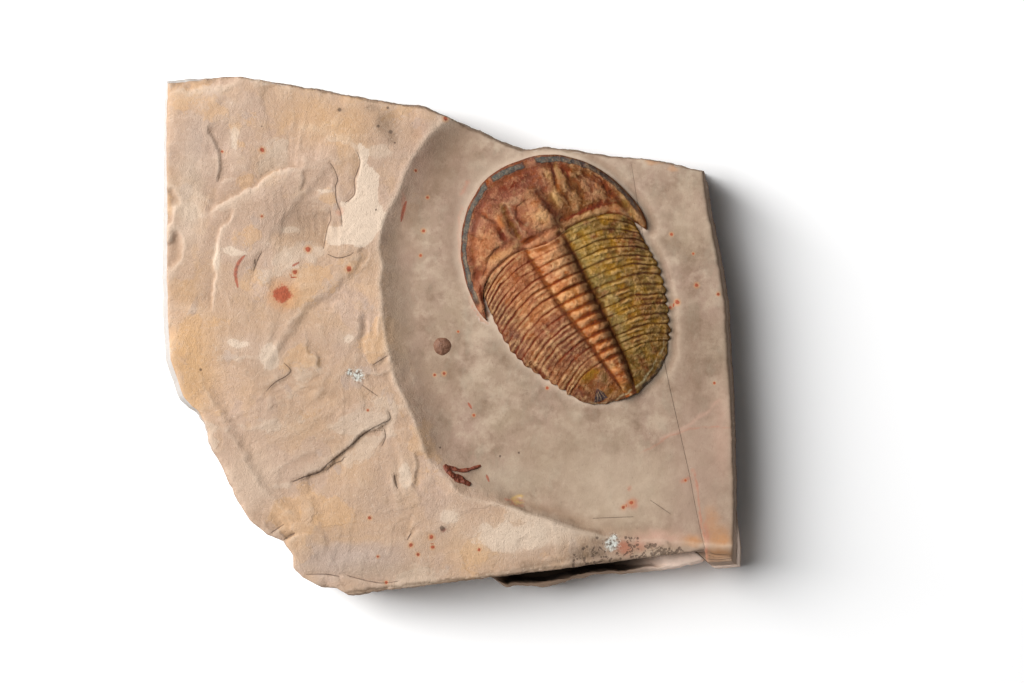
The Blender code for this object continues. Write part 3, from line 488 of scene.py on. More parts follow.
def flaked_face(x, y, size):
    """Height of the rough face outside the dish: a plane with lumps, listed steps whose low
    side recovers as exp(-distance / reach), ripples, terraces and noise."""
    place = plan(x, y)
    warp_x = x + 0.28 * rough(place, 1.6, 3, 11)
    warp_y = y + 0.28 * rough(place, 1.6, 3, 31)
    z = np.full(x.shape, size.plateau / MM)
    for middle_x, middle_y, radius, height in LUMPS:
        z = z + 0.8 * height * np.exp(-((x - middle_x) ** 2 + (y - middle_y) ** 2) / radius ** 2)
    for points, drop, reach, softness in STEPS:
        across, beyond, share = from_curve(warp_x, warp_y, spline(points, 0.7), reach * 3.0)
        ends = smooth(0.0, 0.15, share) * smooth(0.0, 0.15, 1.0 - share) * bell(beyond, 0.6 + 0.2 * reach)
        fall = smooth(-softness * 0.3, softness, across) * np.exp(-np.maximum(across, 0.0) / reach)
        lip = 0.06 * bell(across + 0.3, 0.3) * np.minimum(drop, 0.5)
        z = z - (drop * fall - lip) * ends
    for middle_x, middle_y, reach, angle, length, spacing, height in RIPPLES:
        turn = math.radians(angle)
        along = (x - middle_x) * math.cos(turn) + (y - middle_y) * math.sin(turn)
        over = -(x - middle_x) * math.sin(turn) + (y - middle_y) * math.cos(turn)
        weight = np.exp(-((x - middle_x) ** 2 + (y - middle_y) ** 2) / reach ** 2)
        wave = noise(plan(along / length, over / spacing + 0.25 * noise(place, 3.0, 71)), 1.0, int(angle))
        z = z + 0.4 * height * weight * (terraces(wave, 0.7, 0.45) * 0.6 + wave * 0.4)
    warped = plan(warp_x, warp_y)
    large = terraces(noise(warped, 12.0, 5) + 0.3 * noise(warped, 4.0, 6), 0.5, 0.07)
    thin = terraces(noise(warped * np.array([1.0, 1.5]), 6.0, 15) + 0.2 * noise(warped, 2.0, 16), 0.55, 0.08)
    patchy = smooth(-0.3, 0.4, noise(place, 9.0, 9))
    z = z + 0.1 * rough(place, 14.0, 2, 3) + 0.15 * large + 0.08 * thin * patchy
    z = z + 0.018 * rough(place, 2.4, 3, 21) + 0.5 * size.grain / MM * rough(place, 0.9, 2, 41)
    return z


DISH_WALL = 6.0           # how wide the dish's wall is


def dish(x, y):
    """How far a place is down the dish's wall, 0 on the plateau and 1 on the ground floor, the share
    of the plateau that is worn down near the dish's open ends, and the distance from its rim."""
    place = plan(x, y)
    across, _, _ = from_curve(x + 0.1 * rough(place, 2.2, 3, 51), y + 0.1 * rough(place, 2.2, 3, 53),
                              spline(RIM, 1.2))
    wall = DISH_WALL * (1.0 - 0.65 * smooth(2.0, 12.0, x) * smooth(-20.0, -28.0, y))
    part = np.clip(across / wall, 0.0, 1.0)
    front_end = smooth(17.0, 33.0, x) * smooth(-24.0, -34.0, y)
    back_end = smooth(-3.0, 9.0, x) * smooth(26.0, 33.0, y)
    worn = 1.0 - (1.0 - front_end) * (1.0 - back_end)
    return 1.0 - (1.0 - part) ** 1.9, worn, across


def fossil_plan(x, y):
    """A place of the slab in the trilobite's own t and s."""
    offset_x, offset_y = x - FOSSIL_AT[0], y - FOSSIL_AT[1]
    cos, sin = math.cos(FOSSIL_TURN), math.sin(FOSSIL_TURN)
    return (offset_x * cos + offset_y * sin) / STEP, (offset_x * sin - offset_y * cos) / STEP


def slab_plan(t, s):
    """A place of the trilobite in the slab's frame."""
    cos, sin = math.cos(FOSSIL_TURN), math.sin(FOSSIL_TURN)
    return FOSSIL_AT[0] + STEP * (t * cos + s * sin), FOSSIL_AT[1] + STEP * (t * sin - s * cos)


def fossil_outline():
    """The trilobite's outline in the slab's frame: head margin, ribs' ends, tail margin."""
    left = HEAD_LEFT + list(zip(LEFT_T[2:], LEFT_S[2:])) + [row[3] for row in TAIL]
    right = [row[4] for row in TAIL[::-1]] + list(zip(RIGHT_T[:0:-1], RIGHT_S[:0:-1])) + HEAD_RIGHT[::-1]
    points = np.array(left + right + HEAD_FRONT[::-1])
    return np.stack(slab_plan(points[:, 0], points[:, 1]), -1)


def stone_height(x, y, size):
    """Height of the whole face: the rough plateau, the dish ground into it, a shallow groove cut
    round the trilobite, the pocket under it, open at the head's corners, and the cracks."""
    down, worn, across = dish(x, y)
    place = plan(x, y)
    floor = size.floor / MM + 0.25 * smooth(30.0, 46.0, x) + 0.12 * np.sin(x * 0.21) * np.cos(y * 0.17)
    floor = floor + 0.05 * rough(place, 6.0, 3, 61) + 0.012 * rough(place, 0.7, 2, 63)
    z = flaked_face(x, y, size)
    z = z + (np.minimum(z, floor + 0.5 + 0.35 * (z - size.plateau / MM)) - z) * worn
    z = z + 0.06 * bell(across + 0.4, 0.5) * (1.0 - worn)
    z = z + (floor - z) * down
    z = z - 0.8 * smooth(36.4, 38.4, -y) * smooth(41.0, 43.4, x)
    from_fossil = depth_inside(x, y, fossil_outline())
    t, s = fossil_plan(x, y)
    groove = bell(from_fossil + 1.0, 0.7) * smooth(-20.0, 60.0, t)
    left_notch = bell(np.hypot(t + 87.0, s + 14.0), 12.0)
    right_notch = bell(np.hypot(t - 86.0, s + 24.0), 10.0)
    pocket = smooth(0.35, 0.9, from_fossil) * (1.0 - np.maximum(left_notch, right_notch))
    z = z - 0.35 * groove - 1.2 * pocket
    for points, half_width in CRACKS:
        beside, beyond, _ = from_curve(x, y, spline(points, 0.5), 1.0)
        z = z - 1.1 * half_width * bell(np.hypot(beside, beyond), 0.2 + half_width)
    return z


SIDE_PLACES = 900         # places on each side of the outline


def outline_sides():
    """The face's four sides as dense polylines, ragged where the stone is broken and nearly straight
    where it is sawn."""
    sides = []
    share = np.linspace(0.0, 1.0, SIDE_PLACES)
    for points, ragged in ((FRONT_EDGE, 0.05), (RIGHT_EDGE, 0.06), (BACK_EDGE, 0.1), (LEFT_EDGE, 0.05)):
        dense = carried(points, share)
        along = np.gradient(dense, axis=0)
        normal = plan(along[:, 1], -along[:, 0]) / np.hypot(along[:, 0], along[:, 1])[:, None]
        ends = smooth(0.0, 0.02, share) * smooth(0.0, 0.02, 1.0 - share)
        shove = rough(dense, 2.6, 4, 81, 0.6) * ragged + rough(dense, 0.7, 2, 83) * 0.04
        sides.append(dense + normal * (shove * ends)[:, None])
    return sides


def crowded(count, dense_share):
    """Shares from 0 to 1 that stand closer together in their first part, up to the dense share."""
    knots = np.array([0.0, 0.02, dense_share, dense_share + 0.08, 0.98, 1.0])
    weight = np.array([2.6, 1.6, 1.6, 0.9, 0.9, 2.0])
    fine = np.linspace(0.0, 1.0, 2001)
    run = np.concatenate([[0.0], np.cumsum(np.interp((fine[1:] + fine[:-1]) / 2, knots, weight))])
    return np.interp(np.linspace(0.0, run[-1], count), run, fine)


def face_plan(rows, columns):
    """The face's grid as a Coons patch: the blend of the two pairs of opposite sides, less the blend
    of the corners."""
    front, right, back, left = outline_sides()
    u = crowded(columns, 0.46)[None, :, None]
    v = crowded(rows, 0.5)[:, None, None] * 0.35 + np.linspace(0.0, 1.0, rows)[:, None, None] * 0.65
    low, high = carried(front, u[0, :, 0])[None], carried(back, u[0, :, 0])[None]
    west, east = carried(left, v[:, 0, 0])[:, None], carried(right, v[:, 0, 0])[:, None]
    corners = (1 - v) * ((1 - u) * front[0] + u * front[-1]) + v * ((1 - u) * back[0] + u * back[-1])
    return (1 - v) * low + v * high + (1 - u) * west + u * east - corners


def side_shares(x, y):
    """How much a place on the outline belongs to the left, back, right and front walls."""
    left = smooth(38.0, 46.0, -x)
    back = smooth(24.0, 29.0, y) * (1.0 - left)
    right = smooth(40.0, 43.5, x) * (1.0 - back)
    front = smooth(6.0, 9.0, x) * smooth(30.0, 36.5, -y)
    return left, back, right, front


def wall_shares(x, y):
    """How far the wall spreads at the base, how far the lower bed stands out, and how deep the gap is."""
    left, back, right, front = side_shares(x, y)
    spread = LEFT_OUT * left + BACK_OUT * back + (RIGHT_OUT + (CORNER_OUT - RIGHT_OUT) * front) * right
    shelf = SHELF_OUT * front * (1.0 - right)
    gap = RECESS * front * (1.0 - 0.8 * right * front)
    return spread, shelf, gap


def bedding(place, broken):
    """Relief of a wall: thin beds that run level, and lumps where the stone is broken."""
    level = place * np.array([0.06, 0.06, 1.0])
    layers = noise(level, 0.55, 91) * 0.6 + noise(level, 1.7, 93)
    lumps = rough(place * np.array([1.0, 1.0, 1.6]), 3.2, 4, 95, 0.55)
    return 0.1 * layers + (0.06 + 0.26 * broken) * lumps


def moved_out(x, y, out):
    """Places moved away from the slab's middle."""
    reach = np.hypot(x, y)
    return x * (1.0 + out / reach), y * (1.0 + out / reach)


FACE_GRID = (265, 300)    # rows and columns of the face
# How far down the upper bed's wall its rings lie, and how far in and down those of its underside.
WALL_FALL = np.array([0.02, 0.06, 0.12, 0.2, 0.3, 0.42, 0.55, 0.68, 0.8, 0.9, 0.96, 1.0])[:, None]
UNDERSIDE = [(0.6, 0.05), (2.0, 0.12), (3.8, 0.15), (12.0, 0.15)]


def upper_bed(size):
    """The upper bed: the face, its wall down to the parting and its underside."""
    rows, columns = FACE_GRID
    flat = face_plan(rows, columns)
    x, y = flat[..., 0], flat[..., 1]
    z = stone_height(x, y, size)
    edge = np.full(x.shape, 9.0)
    for points in outline_sides():
        across, _, _ = from_curve(x, y, points[::6], 0.5)
        edge = np.minimum(edge, np.abs(across))
    chips = smooth(-0.1, 0.7, noise(plan(x, y), 2.4, 101)) * smooth(20.0, -20.0, x)
    z = z - 0.22 * np.exp(-edge / 0.22) - 0.5 * chips * np.exp(-edge / 0.7)
    grid = np.dstack([x, y, z])
    loop = grid.reshape(-1, 3)[rim_of(rows, columns)]
    spread, _, gap = wall_shares(loop[:, 0], loop[:, 1])
    fall = WALL_FALL
    level = loop[:, 2] + (BED_BOTTOM - loop[:, 2]) * fall
    left, back, right, front = side_shares(loop[:, 0], loop[:, 1])
    broken = np.clip(left + back + (1.0 - right - front), 0.0, 1.0)
    out = (spread * 0.35 - 0.2 * gap / RECESS) * fall + 0.1 * smooth(0.0, 0.1, fall)
    ring_x, ring_y = moved_out(loop[:, 0], loop[:, 1], out)
    place = np.dstack([ring_x, ring_y, level])
    firm = (1.0 - 0.7 * left - 0.5 * back) * (1.0 - 0.85 * front)
    relief = bedding(place, broken) * smooth(0.0, 0.25, fall) * firm - 0.12 * smooth(0.93, 1.0, fall)
    ring_x, ring_y = moved_out(ring_x, ring_y, relief)
    rings = list(np.dstack([ring_x, ring_y, level]))
    for inward, depth in UNDERSIDE:
        under_x, under_y = moved_out(ring_x[-1], ring_y[-1], -inward)
        rings.append(np.column_stack([under_x, under_y, np.full(len(loop), BED_BOTTOM - depth)]))
    return closed_over(grid, np.array(rings))


# The lower bed's section from the parting down: height, share of the spread, of the gap's depth,
# of the shelf, and how much of the cleft's depth is taken off the height.
BED_SECTION = np.array([
    (12.45, 0.37, -1.0, 0.0, 0.0), (11.7, 0.41, -1.0, 0.0, 0.0), (10.95, 0.44, -0.95, 0.0, 0.3),
    (10.75, 0.45, -0.8, 0.0, 0.85), (10.7, 0.46, -0.3, 0.1, 1.0), (10.65, 0.47, 0.0, 0.5, 0.97),
    (10.6, 0.48, 0.0, 0.62, 0.5), (10.55, 0.49, 0.0, 0.68, 0.08), (10.5, 0.5, 0.0, 0.74, 0.0),
    (10.2, 0.51, 0.0, 0.84, 0.0), (9.7, 0.53, 0.0, 0.9, 0.0), (8.0, 0.6, 0.0, 0.94, 0.0),
    (5.0, 0.75, 0.0, 1.0, 0.0), (2.0, 0.9, 0.0, 1.0, 0.0), (0.25, 1.0, 0.0, 1.0, 0.0),
    (0.0, 0.99, 0.0, 1.0, 0.0)])
CLEFT_DEPTH = 7.5
LOOP_COUNTS = (300, 200, 260, 260)    # places on the front, right, back and left of each ring
BASE_SHARES = (0.985, 0.95, 0.88, 0.75, 0.6, 0.45, 0.3, 0.15)    # sizes of the rings under the base


def lower_bed():
    """The lower bed: a closed wall whose section runs from the parting over the shelf to the base,
    with rough level bedding, closed above and below in fans. Also its fields: the painted shade
    deep in the cleft, the painted light on the left wall and on the shelf in front of the corner,
    and the darker coat on the back and right walls, which on the right wall is painted shade."""
    front, right, back, left = outline_sides()
    sides = zip((front, right, back[::-1], left[::-1]), LOOP_COUNTS)
    loop = np.vstack([carried(side, np.linspace(0.0, 1.0, count, endpoint=False)) for side, count in sides])
    x, y = loop[:, 0], loop[:, 1]
    spread, shelf, gap = wall_shares(x, y)
    level = section_steps()
    height, of_spread, of_gap, of_shelf, of_cleft = (
        np.interp(level, np.arange(len(BED_SECTION)), BED_SECTION[:, k])[:, None] for k in range(5))
    cleft = smooth(6.5, 12.0, x) * (1.0 - smooth(24.0, 37.0, x)) * np.minimum(gap / RECESS, 1.0)
    wander = 1.0 + 0.25 * noise(loop, 5.0, 111)
    middle = smooth(12.4, 10.8, height) * smooth(2.0, 9.0, height)
    lift = 1.5 * smooth(29.0, 38.0, x) * (gap > 0) * middle
    waves = 0.35 * noise(loop, 4.0, 113) * of_shelf * (height > 9.0) * (gap > 0)
    z = height + lift - CLEFT_DEPTH * cleft * of_cleft + waves
    recess = gap * of_gap * (1.0 - 0.75 * smooth(34.0, 42.0, x))
    ring_x, ring_y = moved_out(x, y, spread * of_spread + recess + shelf * of_shelf * wander)
    left, back, right, front = side_shares(x, y)
    broken = np.clip(left + back + 1.0 - right, 0.0, 1.0)
    firm = smooth(12.45, 12.0, height) * smooth(0.0, 0.6, height) * (1.0 - 0.7 * left - 0.5 * back)
    relief = bedding(np.dstack([ring_x, ring_y, z]), broken) * firm
    rings = list(np.dstack([*moved_out(ring_x, ring_y, relief), z]))
    base = rings[-1]
    for share in BASE_SHARES:
        ring = base * np.array([share, share, 1.0])
        ring[:, 2] += 0.06 * np.maximum(noise(ring[:, :2], 3.0, 115), 0.0)
        rings.append(ring)
    shell = tube(np.array(rings))
    walls = np.ones((len(level), 1))
    # Painted shade: where the deep part of the front cleft is coated nearly black.
    cleft_painted_shade = smooth(6.5, 10.0, x) * smooth(35.0, 27.0, x) * front * smooth(7.4, 6.4, level)[:, None]
    # The left wall and the shelf in front of the corner get painted light, the back wall a darker coat and
    # the right wall painted shade.
    fields = {"cleft": cleft_painted_shade, "left_wall_painted_light": left * walls, "fresh": smooth(27.0, 37.0, x) * front * walls,
              "dark_wall_and_shade": np.maximum(back, 0.7 * right * (1.0 - front)) * walls}
    return shell, spread_over(fields, cleft_painted_shade.shape, len(shell[0]))


def section_steps():
    """Where along the bed's section its rings lie: close together over the shelf and evenly down the wall."""
    return np.concatenate([np.linspace(0.0, 2.0, 5), np.linspace(2.25, 10.0, 26), np.linspace(10.2, 13.0, 20),
                           np.linspace(13.15, 15.0, 8)])


def tube(rings):
    """Rings joined into a wall and closed at both ends in fans."""
    total, count = rings.shape[:2]
    loops = np.arange(total * count).reshape(total, count)
    after = np.roll(loops, -1, axis=1)
    places = np.vstack([rings.reshape(-1, 3), rings[0].mean(0)[None], rings[-1].mean(0)[None]])
    quads = np.stack([loops[:-1], loops[1:], after[1:], after[:-1]], -1).reshape(-1, 4)
    top = np.stack([np.full(count, len(places) - 2), loops[0], after[0]], -1)
    bottom = np.stack([loops[-1], np.full(count, len(places) - 1), after[-1]], -1)
    return places, quads, np.vstack([top, bottom])


# Colours laid on the stone: spots are (colour, middle x and y, reach across and along, strength)
# and strokes are (colour, points, half width, strength).
STONE_SPOTS = [
    ("floor_dark", -1.2, 28.4, 5.1, 6.8, 0.6), ("floor_dark", -3.2, -9.9, 3.74, 10.2, 0.35),
    ("floor_tan", 18.4, -20.1, 10.2, 5.44, 0.5), ("floor_light", 29, -26.4, 11, 6.4, 0.75),
    ("floor_rose", 42.2, -23.5, 6.12, 13.6, 0.75), ("floor_dark", 40.5, -3.1, 3.74, 10.2, 0.5),
    ("floor_light", 39.8, 19.9, 3.74, 4.42, 0.3), ("floor_rose", 1.7, 18.2, 3.4, 10.2, 0.6),
    ("floor_grey", 8.5, -25.2, 6, 3.2, 0.5), ("ochre", -20.7, 36, 7, 4, 0.5),
    ("cream", -44.5, 22.4, 2.5, 8, 0.6), ("cream", -34, -25, 5, 5, 0.4),
    ("brown", -25.8, -11.6, 7, 8, 0.25), ("floor_light", -9, 5, 2.5, 14, 0.35),
    ("floor_dark", 0.5, 17, 1.4, 8, 0.3), ("floor_dark", 48.1, 5.4, 1.36, 20.4, 0.3),
    ("amber", 45.6, -36.2, 2.21, 3.06, 0.9), ("amber", 44.2, -32, 1.36, 2.38, 0.5),
    ("brick", 43.4, -36.7, 0.37, 4.42, 0.7), ("brick", 29.4, -36.7, 1.53, 1.36, 0.75),
    ("brick", 32.1, -36.2, 0.85, 1.19, 0.5), ("blush", 35.4, -35, 4.76, 1.36, 0.8),
    ("amber", 41, -35.7, 1.53, 1.02, 0.85), ("dirt", 22.6, -37.4, 3.4, 1.36, 0.6),
    ("dirt", 25.2, -35.5, 2.04, 1.02, 0.5), ("crystal", 27.2, -36, 1.02, 0.85, 0.55),
    ("cream", 15.5, -34.2, 6.5, 1.9, 0.85), ("lilac", -19, -38.6, 9, 2.8, 0.6),
    ("floor_tan", -12, -40.5, 8, 1.6, 0.4), ("rust_dark", -1.5, -33.7, 0.55, 0.5, 0.9),
    ("brick", -19, 20.4, 0.6, 0.8, 0.5), ("amber", 34.2, 29.2, 1.02, 0.51, 0.7),
    ("amber", 37.6, 27.9, 1.02, 0.51, 0.6), ("dirt", -11.6, 35.7, 1.7, 2.04, 0.55),
    ("dirt", -13.6, 38.1, 1.19, 0.85, 0.5), ("dirt", -10.2, 33, 0.85, 1.02, 0.5),
    ("dirt", -19, 37.7, 0.85, 0.51, 0.4), ("blush", 46.2, -16.7, 1.7, 8.5, 0.4),
    ("brick", -1.2, 36, 0.51, 0.34, 0.8), ("brick", 30.6, -28.9, 0.85, 0.68, 0.75),
    ("brick", 29.6, -29.8, 0.85, 0.6, 0.7), ("brick", 30.9, -29.9, 0.6, 0.6, 0.6),
    ("brick", 30.3, -26.9, 0.34, 0.51, 0.6), ("brick", 40, -25.3, 0.68, 0.43, 0.6),
    ("blush", -5.4, 30.9, 2.04, 6.8, 0.35), ("brick", -8.3, 21.6, 0.34, 2.72, 0.5),
    ("blush", -8, 13.9, 2.04, 10.2, 0.25)]
STONE_STROKES = [
    ("gold", [(10.2, -28.7), (11, -28.3), (12, -28)], 0.3, 0.95),
    ("gold", [(10.4, -28.9), (11.4, -29.1), (12.2, -29.3)], 0.24, 0.9),
    ("gold", [(10.7, -28.3), (11, -29.2)], 0.22, 0.9), ("cream", [(11.3, -28.5), (11.8, -28.4)], 0.16, 0.9),
    ("brick", [(9, -28.4), (10.1, -28.9), (11, -29.6), (12.2, -29.7)], 0.18, 0.9),
    ("brick", [(10, -29.4), (11.3, -28.7), (12.4, -28.9)], 0.12, 0.8),
    # Painted shade: a dark stroke along the crisp front edge of the dish's wall, beside the plateau's tail.
    ("floor_dark", [(9.7, -28.9), (13, -30.8), (16.3, -31.7), (20.4, -32.9), (25.2, -34.3)], 0.45, 0.55),
    ("brick", [(5.27, 7.23), (5.36, 5.02), (6.06, 2.72)], 0.3, 0.85),
    # The dark strokes along the back edge make the face darker at its rim there.
    ("brick", [(2.81, 6.08), (4.24, 3), (5.95, 1.36)], 0.22, 0.7), ("dirt", BACK_EDGE[2:11], 0.22, 0.85),
    ("dirt", [(11.9, 31), (16.4, 31.3), (22.6, 30.6), (33.7, 29.4), (42.7, 27.4)], 0.16, 0.7),
    ("brick", [(41.1, -23.5), (42, -28.6), (43.2, -36.7)], 0.17, 0.6),
    ("blush", [(35.4, -18.4), (40.5, -15.8), (45.6, -11.6)], 0.37, 0.5),
    ("brick", [(32, -20.9), (36.2, -18.4), (42.2, -16.3), (48.1, -16.7)], 0.14, 0.35),
    ("dirt", [(-18.2, -44.2), (-8.8, -43.2), (-0.3, -42.2), (8.2, -41.3), (18.4, -39.9), (28.6, -38.7)],
      0.3, 0.9), ("dirt", [(4, -41.2), (10, -40.4), (16, -39.5)], 0.4, 0.45),
    ("dirt", [(11.6, -39.8), (18.4, -38.8), (25.2, -37.6)], 0.6, 0.45),
    ("dirt", [(34.5, -38.1), (34, -36.7), (33.3, -35.9)], 0.2, 0.8),
    ("dirt", [(36.7, -37.6), (37.1, -36.4), (36.4, -35.7)], 0.2, 0.8),
    ("dirt", [(34.5, -38.1), (35.4, -36.9), (36, -36.2)], 0.17, 0.6),
    ("brick", [(1.5, 21.6), (1.2, 16.5), (1.5, 11.9)], 0.2, 0.6),
    ("brick", [(2.4, 25.8), (1.5, 23.3)], 0.26, 0.5)]


def front_specks():
    """Dark specks crowded towards the front edge: places and radii from a hash of their number."""
    along, back, size = (hashed(plan(np.arange(SPECKS), k), 171) for k in (1, 2, 3))
    x = 20.5 + 20.0 * along ** 1.3
    y = 0.13 * (x - 20.5) - 39.9 + 4.2 * back ** 2 * bell(x - 27.0, 7.0) + 0.6 * back
    return np.column_stack([x, y, 0.1 + 0.2 * size]).tolist()


def stone_fields(places, face_count, look):
    """What the stone's finishes read: which places are ground floor, cream, ochre, lilac or brown, the
    fields of flecks, pits, cracks and streaks, the colours laid on, the painted light on the left
    walls, and the darker coat on the back and right walls, which on the right is painted shade."""
    x, y = places[:, 0], places[:, 1]
    face = np.zeros(len(places))
    face[:face_count] = 1.0
    place = plan(x, y)
    warp_x = x + 0.35 * rough(place, 1.8, 3, 121)
    warp_y = y + 0.35 * rough(place, 1.8, 3, 123)
    down, worn, _ = dish(x, y)
    from_fossil = depth_inside(x, y, fossil_outline())
    t, _ = fossil_plan(x, y)
    flake = smooth(-0.12, 0.12, depth_inside(warp_x, warp_y, CREAM_FLAKE))

    def on_face(field, away):
        """The field on the face, and offsets that are far from every mark elsewhere."""
        return np.where(face[:, None] > 0.0, field, away)

    colour, share = (painted(x, y, np.zeros((len(x), 3)), STONE_SPOTS, STONE_STROKES, source, 1.5)
                     for source in (look, None))
    left, back, right, front = side_shares(x, y)
    return {
        "ground": face * np.maximum(down, worn * 0.85),
        "cream": face * np.maximum(patch(warp_x, warp_y, CREAM), flake),
        "ochre": face * patch(warp_x, warp_y, OCHRE),
        "lilac": face * patch(warp_x, warp_y, LILAC),
        "brown": face * patch(warp_x, warp_y, BROWN),
        "halo": face * bell(np.minimum(from_fossil + 0.2, 0.0), 0.4) * smooth(-10.0, -50.0, t),
        "rim": face * bell(from_fossil + 0.35, 0.5) * smooth(20.0, 60.0, t),
        "fleck": on_face(fleck_field(x, y, FLECKS), 9.0),
        "pit": on_face(fleck_field(x, y, PITS + front_specks()), 9.0),
        "crack": on_face(line_field(x, y, CRACKS), 12.0),
        "streak": on_face(line_field(x, y, STREAKS), 12.0),
        "crystal": face * patch(x, y, [(at_x, at_y, r, r, 1.0) for at_x, at_y, r in CRYSTALS]),
        "paint": colour / share[:, :1],
        "painted": share[:, 0] * face,
        # Painted light on the left wall; a darker coat on the back wall and painted shade on the right wall.
        "left_wall_painted_light": left * (1.0 - face),
        "dark_wall_and_shade": np.maximum(back, 0.7 * right * (1.0 - front)) * (1.0 - face),
        "cleft": np.zeros(len(x)),
        "fresh": np.zeros(len(x)),
    }


def hollowness(grid, widths=(2, 6)):
    """How far each place of a grid lies below its surroundings, from box averages of its height."""
    z = grid[..., 2]
    total = np.zeros(z.shape)
    for width in widths:
        padded = np.pad(z, width, mode="edge")
        run = np.cumsum(np.cumsum(np.pad(padded, ((1, 0), (1, 0))), 0), 1)
        side = 2 * width + 1
        boxes = run[side:, side:] - run[:-side, side:] - run[side:, :-side] + run[:-side, :-side]
        total += boxes / side ** 2 - z
    return total


# ---------------------------------------------------------------- the trilobite


def from_margin(t, s):
    """Distance of places of the head from its front and side margin, in steps."""
    across, _, _ = from_curve(t, s, spline(HEAD_LEFT[::-1] + HEAD_FRONT[1:-1] + HEAD_RIGHT, 3.0))
    return np.abs(across)


def head_height(t, s, size):
    """Height of the head shield above the margin, from distances to its margin, its rear border and
    its furrows, all in steps: cheeks that rise as 1 - (1 - d)^2.2 to a dome, a rolled rim, the
    glabella as a steep-sided dome, and the ridges, pits and folds of this head."""
    steps = plan(t, s)
    place = steps * STEP
    edge = from_margin(t, s)
    rear = np.abs(from_curve(t, s, spline(HEAD_REAR, 3.0))[0])
    z = 1.5 * (1.0 - (1.0 - np.clip(edge / 42.0, 0.0, 1.0)) ** 2.2)
    z = z + 0.2 * bell(edge - 4.5, 4.0) - 0.2 * bell(edge - 11.5, 3.2)
    side = smooth(20.0, 30.0, np.abs(t + 6.0))
    z = z + side * (0.16 * bell(rear - 5.0, 4.0) - 0.16 * bell(rear - 12.0, 3.0))
    z = z - 0.22 * bell(rear, 1.6) * side
    wide = np.exp(-np.hypot((t + 4.0) / 22.0, (s + 72.0) / 27.0) ** 4)
    egg = np.exp(-np.hypot((t + 0.5 - 0.12 * (s + 72.0)) / 12.0, (s + 72.0) / 15.5) ** 2.6)
    z = z + 0.4 * wide + 0.75 * egg * (1.0 + 0.16 * rough(place, 0.8, 3, 139))
    ring = smooth(24.0, 17.0, np.abs(t + 4.0)) * bell(s + 49.5, 4.2)
    z = z + 0.3 * ring - 0.1 * smooth(22.0, 16.0, np.abs(t + 5.0)) * bell(s + 56.5, 2.4)
    for middle_t, middle_s, reach_t, reach_s, height in HEAD_FORMS:
        z = z + height * np.exp(-((t - middle_t) / reach_t) ** 2 - ((s - middle_s) / reach_s) ** 2)
    warp_t, warp_s = t + 1.5 * rough(steps, 8.0, 3, 151), s + 1.5 * rough(steps, 8.0, 3, 153)
    for points, width, height in HEAD_LINES:
        beside, past, share = from_curve(warp_t, warp_s, spline(points, 2.0), width * 4.0)
        width = width * (0.9 + 0.5 * noise(steps, 7.0, 155))
        ends = np.clip(np.sin(math.pi * share) * 3.0, 0.0, 1.0) * (0.8 + 0.5 * noise(steps, 9.0, 157))
        z = z + 0.42 * height * bell(np.hypot(beside, past) / width, 1.0) * ends
    crushed = bell((t - 48.0) / 34.0, 1.0) * bell((s + 82.0) / 34.0, 1.0)
    folds = noise(plan(t * 0.16 + s * 0.03, s * 0.06 - t * 0.02), 1.0, 131)
    z = z + crushed * (0.08 * folds + 0.15 * rough(place * np.array([1.5, 1.0]), 1.2, 4, 133))
    z = z + 0.07 * rough(place, 1.9, 4, 135) + 0.02 * rough(place, 0.45, 2, 137)
    return z * size.relief


# Swellings and pits of the head: middle t and s, reach across and along, height in millimetres.
HEAD_FORMS = [(-37, -80, 4.5, 9, 0.55), (-42, -73, 3.2, 7, -0.4), (-58, -74, 15, 15, 0.35),
              (-20, -55, 6.5, 2.6, -0.4), (11, -48, 4, 3, -0.35), (-19, -74, 4.5, 5, -0.15),
              (0, -110, 26, 7, -0.16), (-4, -99, 14, 3.5, 0.14), (24, -82, 5, 12, 0.3),
              (44, -104, 5, 4, -0.25), (62, -74, 10, 14, 0.25), (-76, -46, 6, 5, -0.15),
              (-33, -53, 5, 5, -0.2), (36, -100, 4, 12, 0.18), (16, -124, 6, 6, 0.3)]
# Furrows of the head that are coloured too: points, half width and height, then the colour, the
# colour's half width and its strength.
HEAD_FURROWS = [
    ([(-49, -62), (-60, -58), (-70, -50), (-79, -41)], 1.5, -0.26, "furrow", 1.1, 0.7),
    ([(33, -120), (31.5, -108), (28, -95)], 1.8, -0.42, "furrow", 1.6, 0.85),
    ([(40, -108), (42, -98), (40, -86)], 1.8, -0.35, "furrow", 1.2, 0.6),
    ([(21, -58), (45, -58), (76, -53)], 2.2, -0.4, "red", 1.5, 0.8),
    ([(-38, -114), (-36, -109), (-32, -104)], 1.1, -0.2, "furrow", 0.9, 0.6),
    ([(-74, -88), (-66, -82)], 0.9, -0.16, "furrow", 0.8, 0.5),
    ([(50, -96), (57, -84), (58, -70)], 1.8, -0.3, "bark", 1.6, 0.6),
    ([(66, -92), (71, -78), (70, -62)], 1.6, -0.25, "bark", 1.6, 0.6),
    ([(-52, -100), (-48, -92), (-44, -86)], 1.6, -0.2, "bark", 1.6, 0.5),
    ([(30, -84), (33, -74), (31, -64)], 1.6, -0.25, "bark", 1.4, 0.5)]
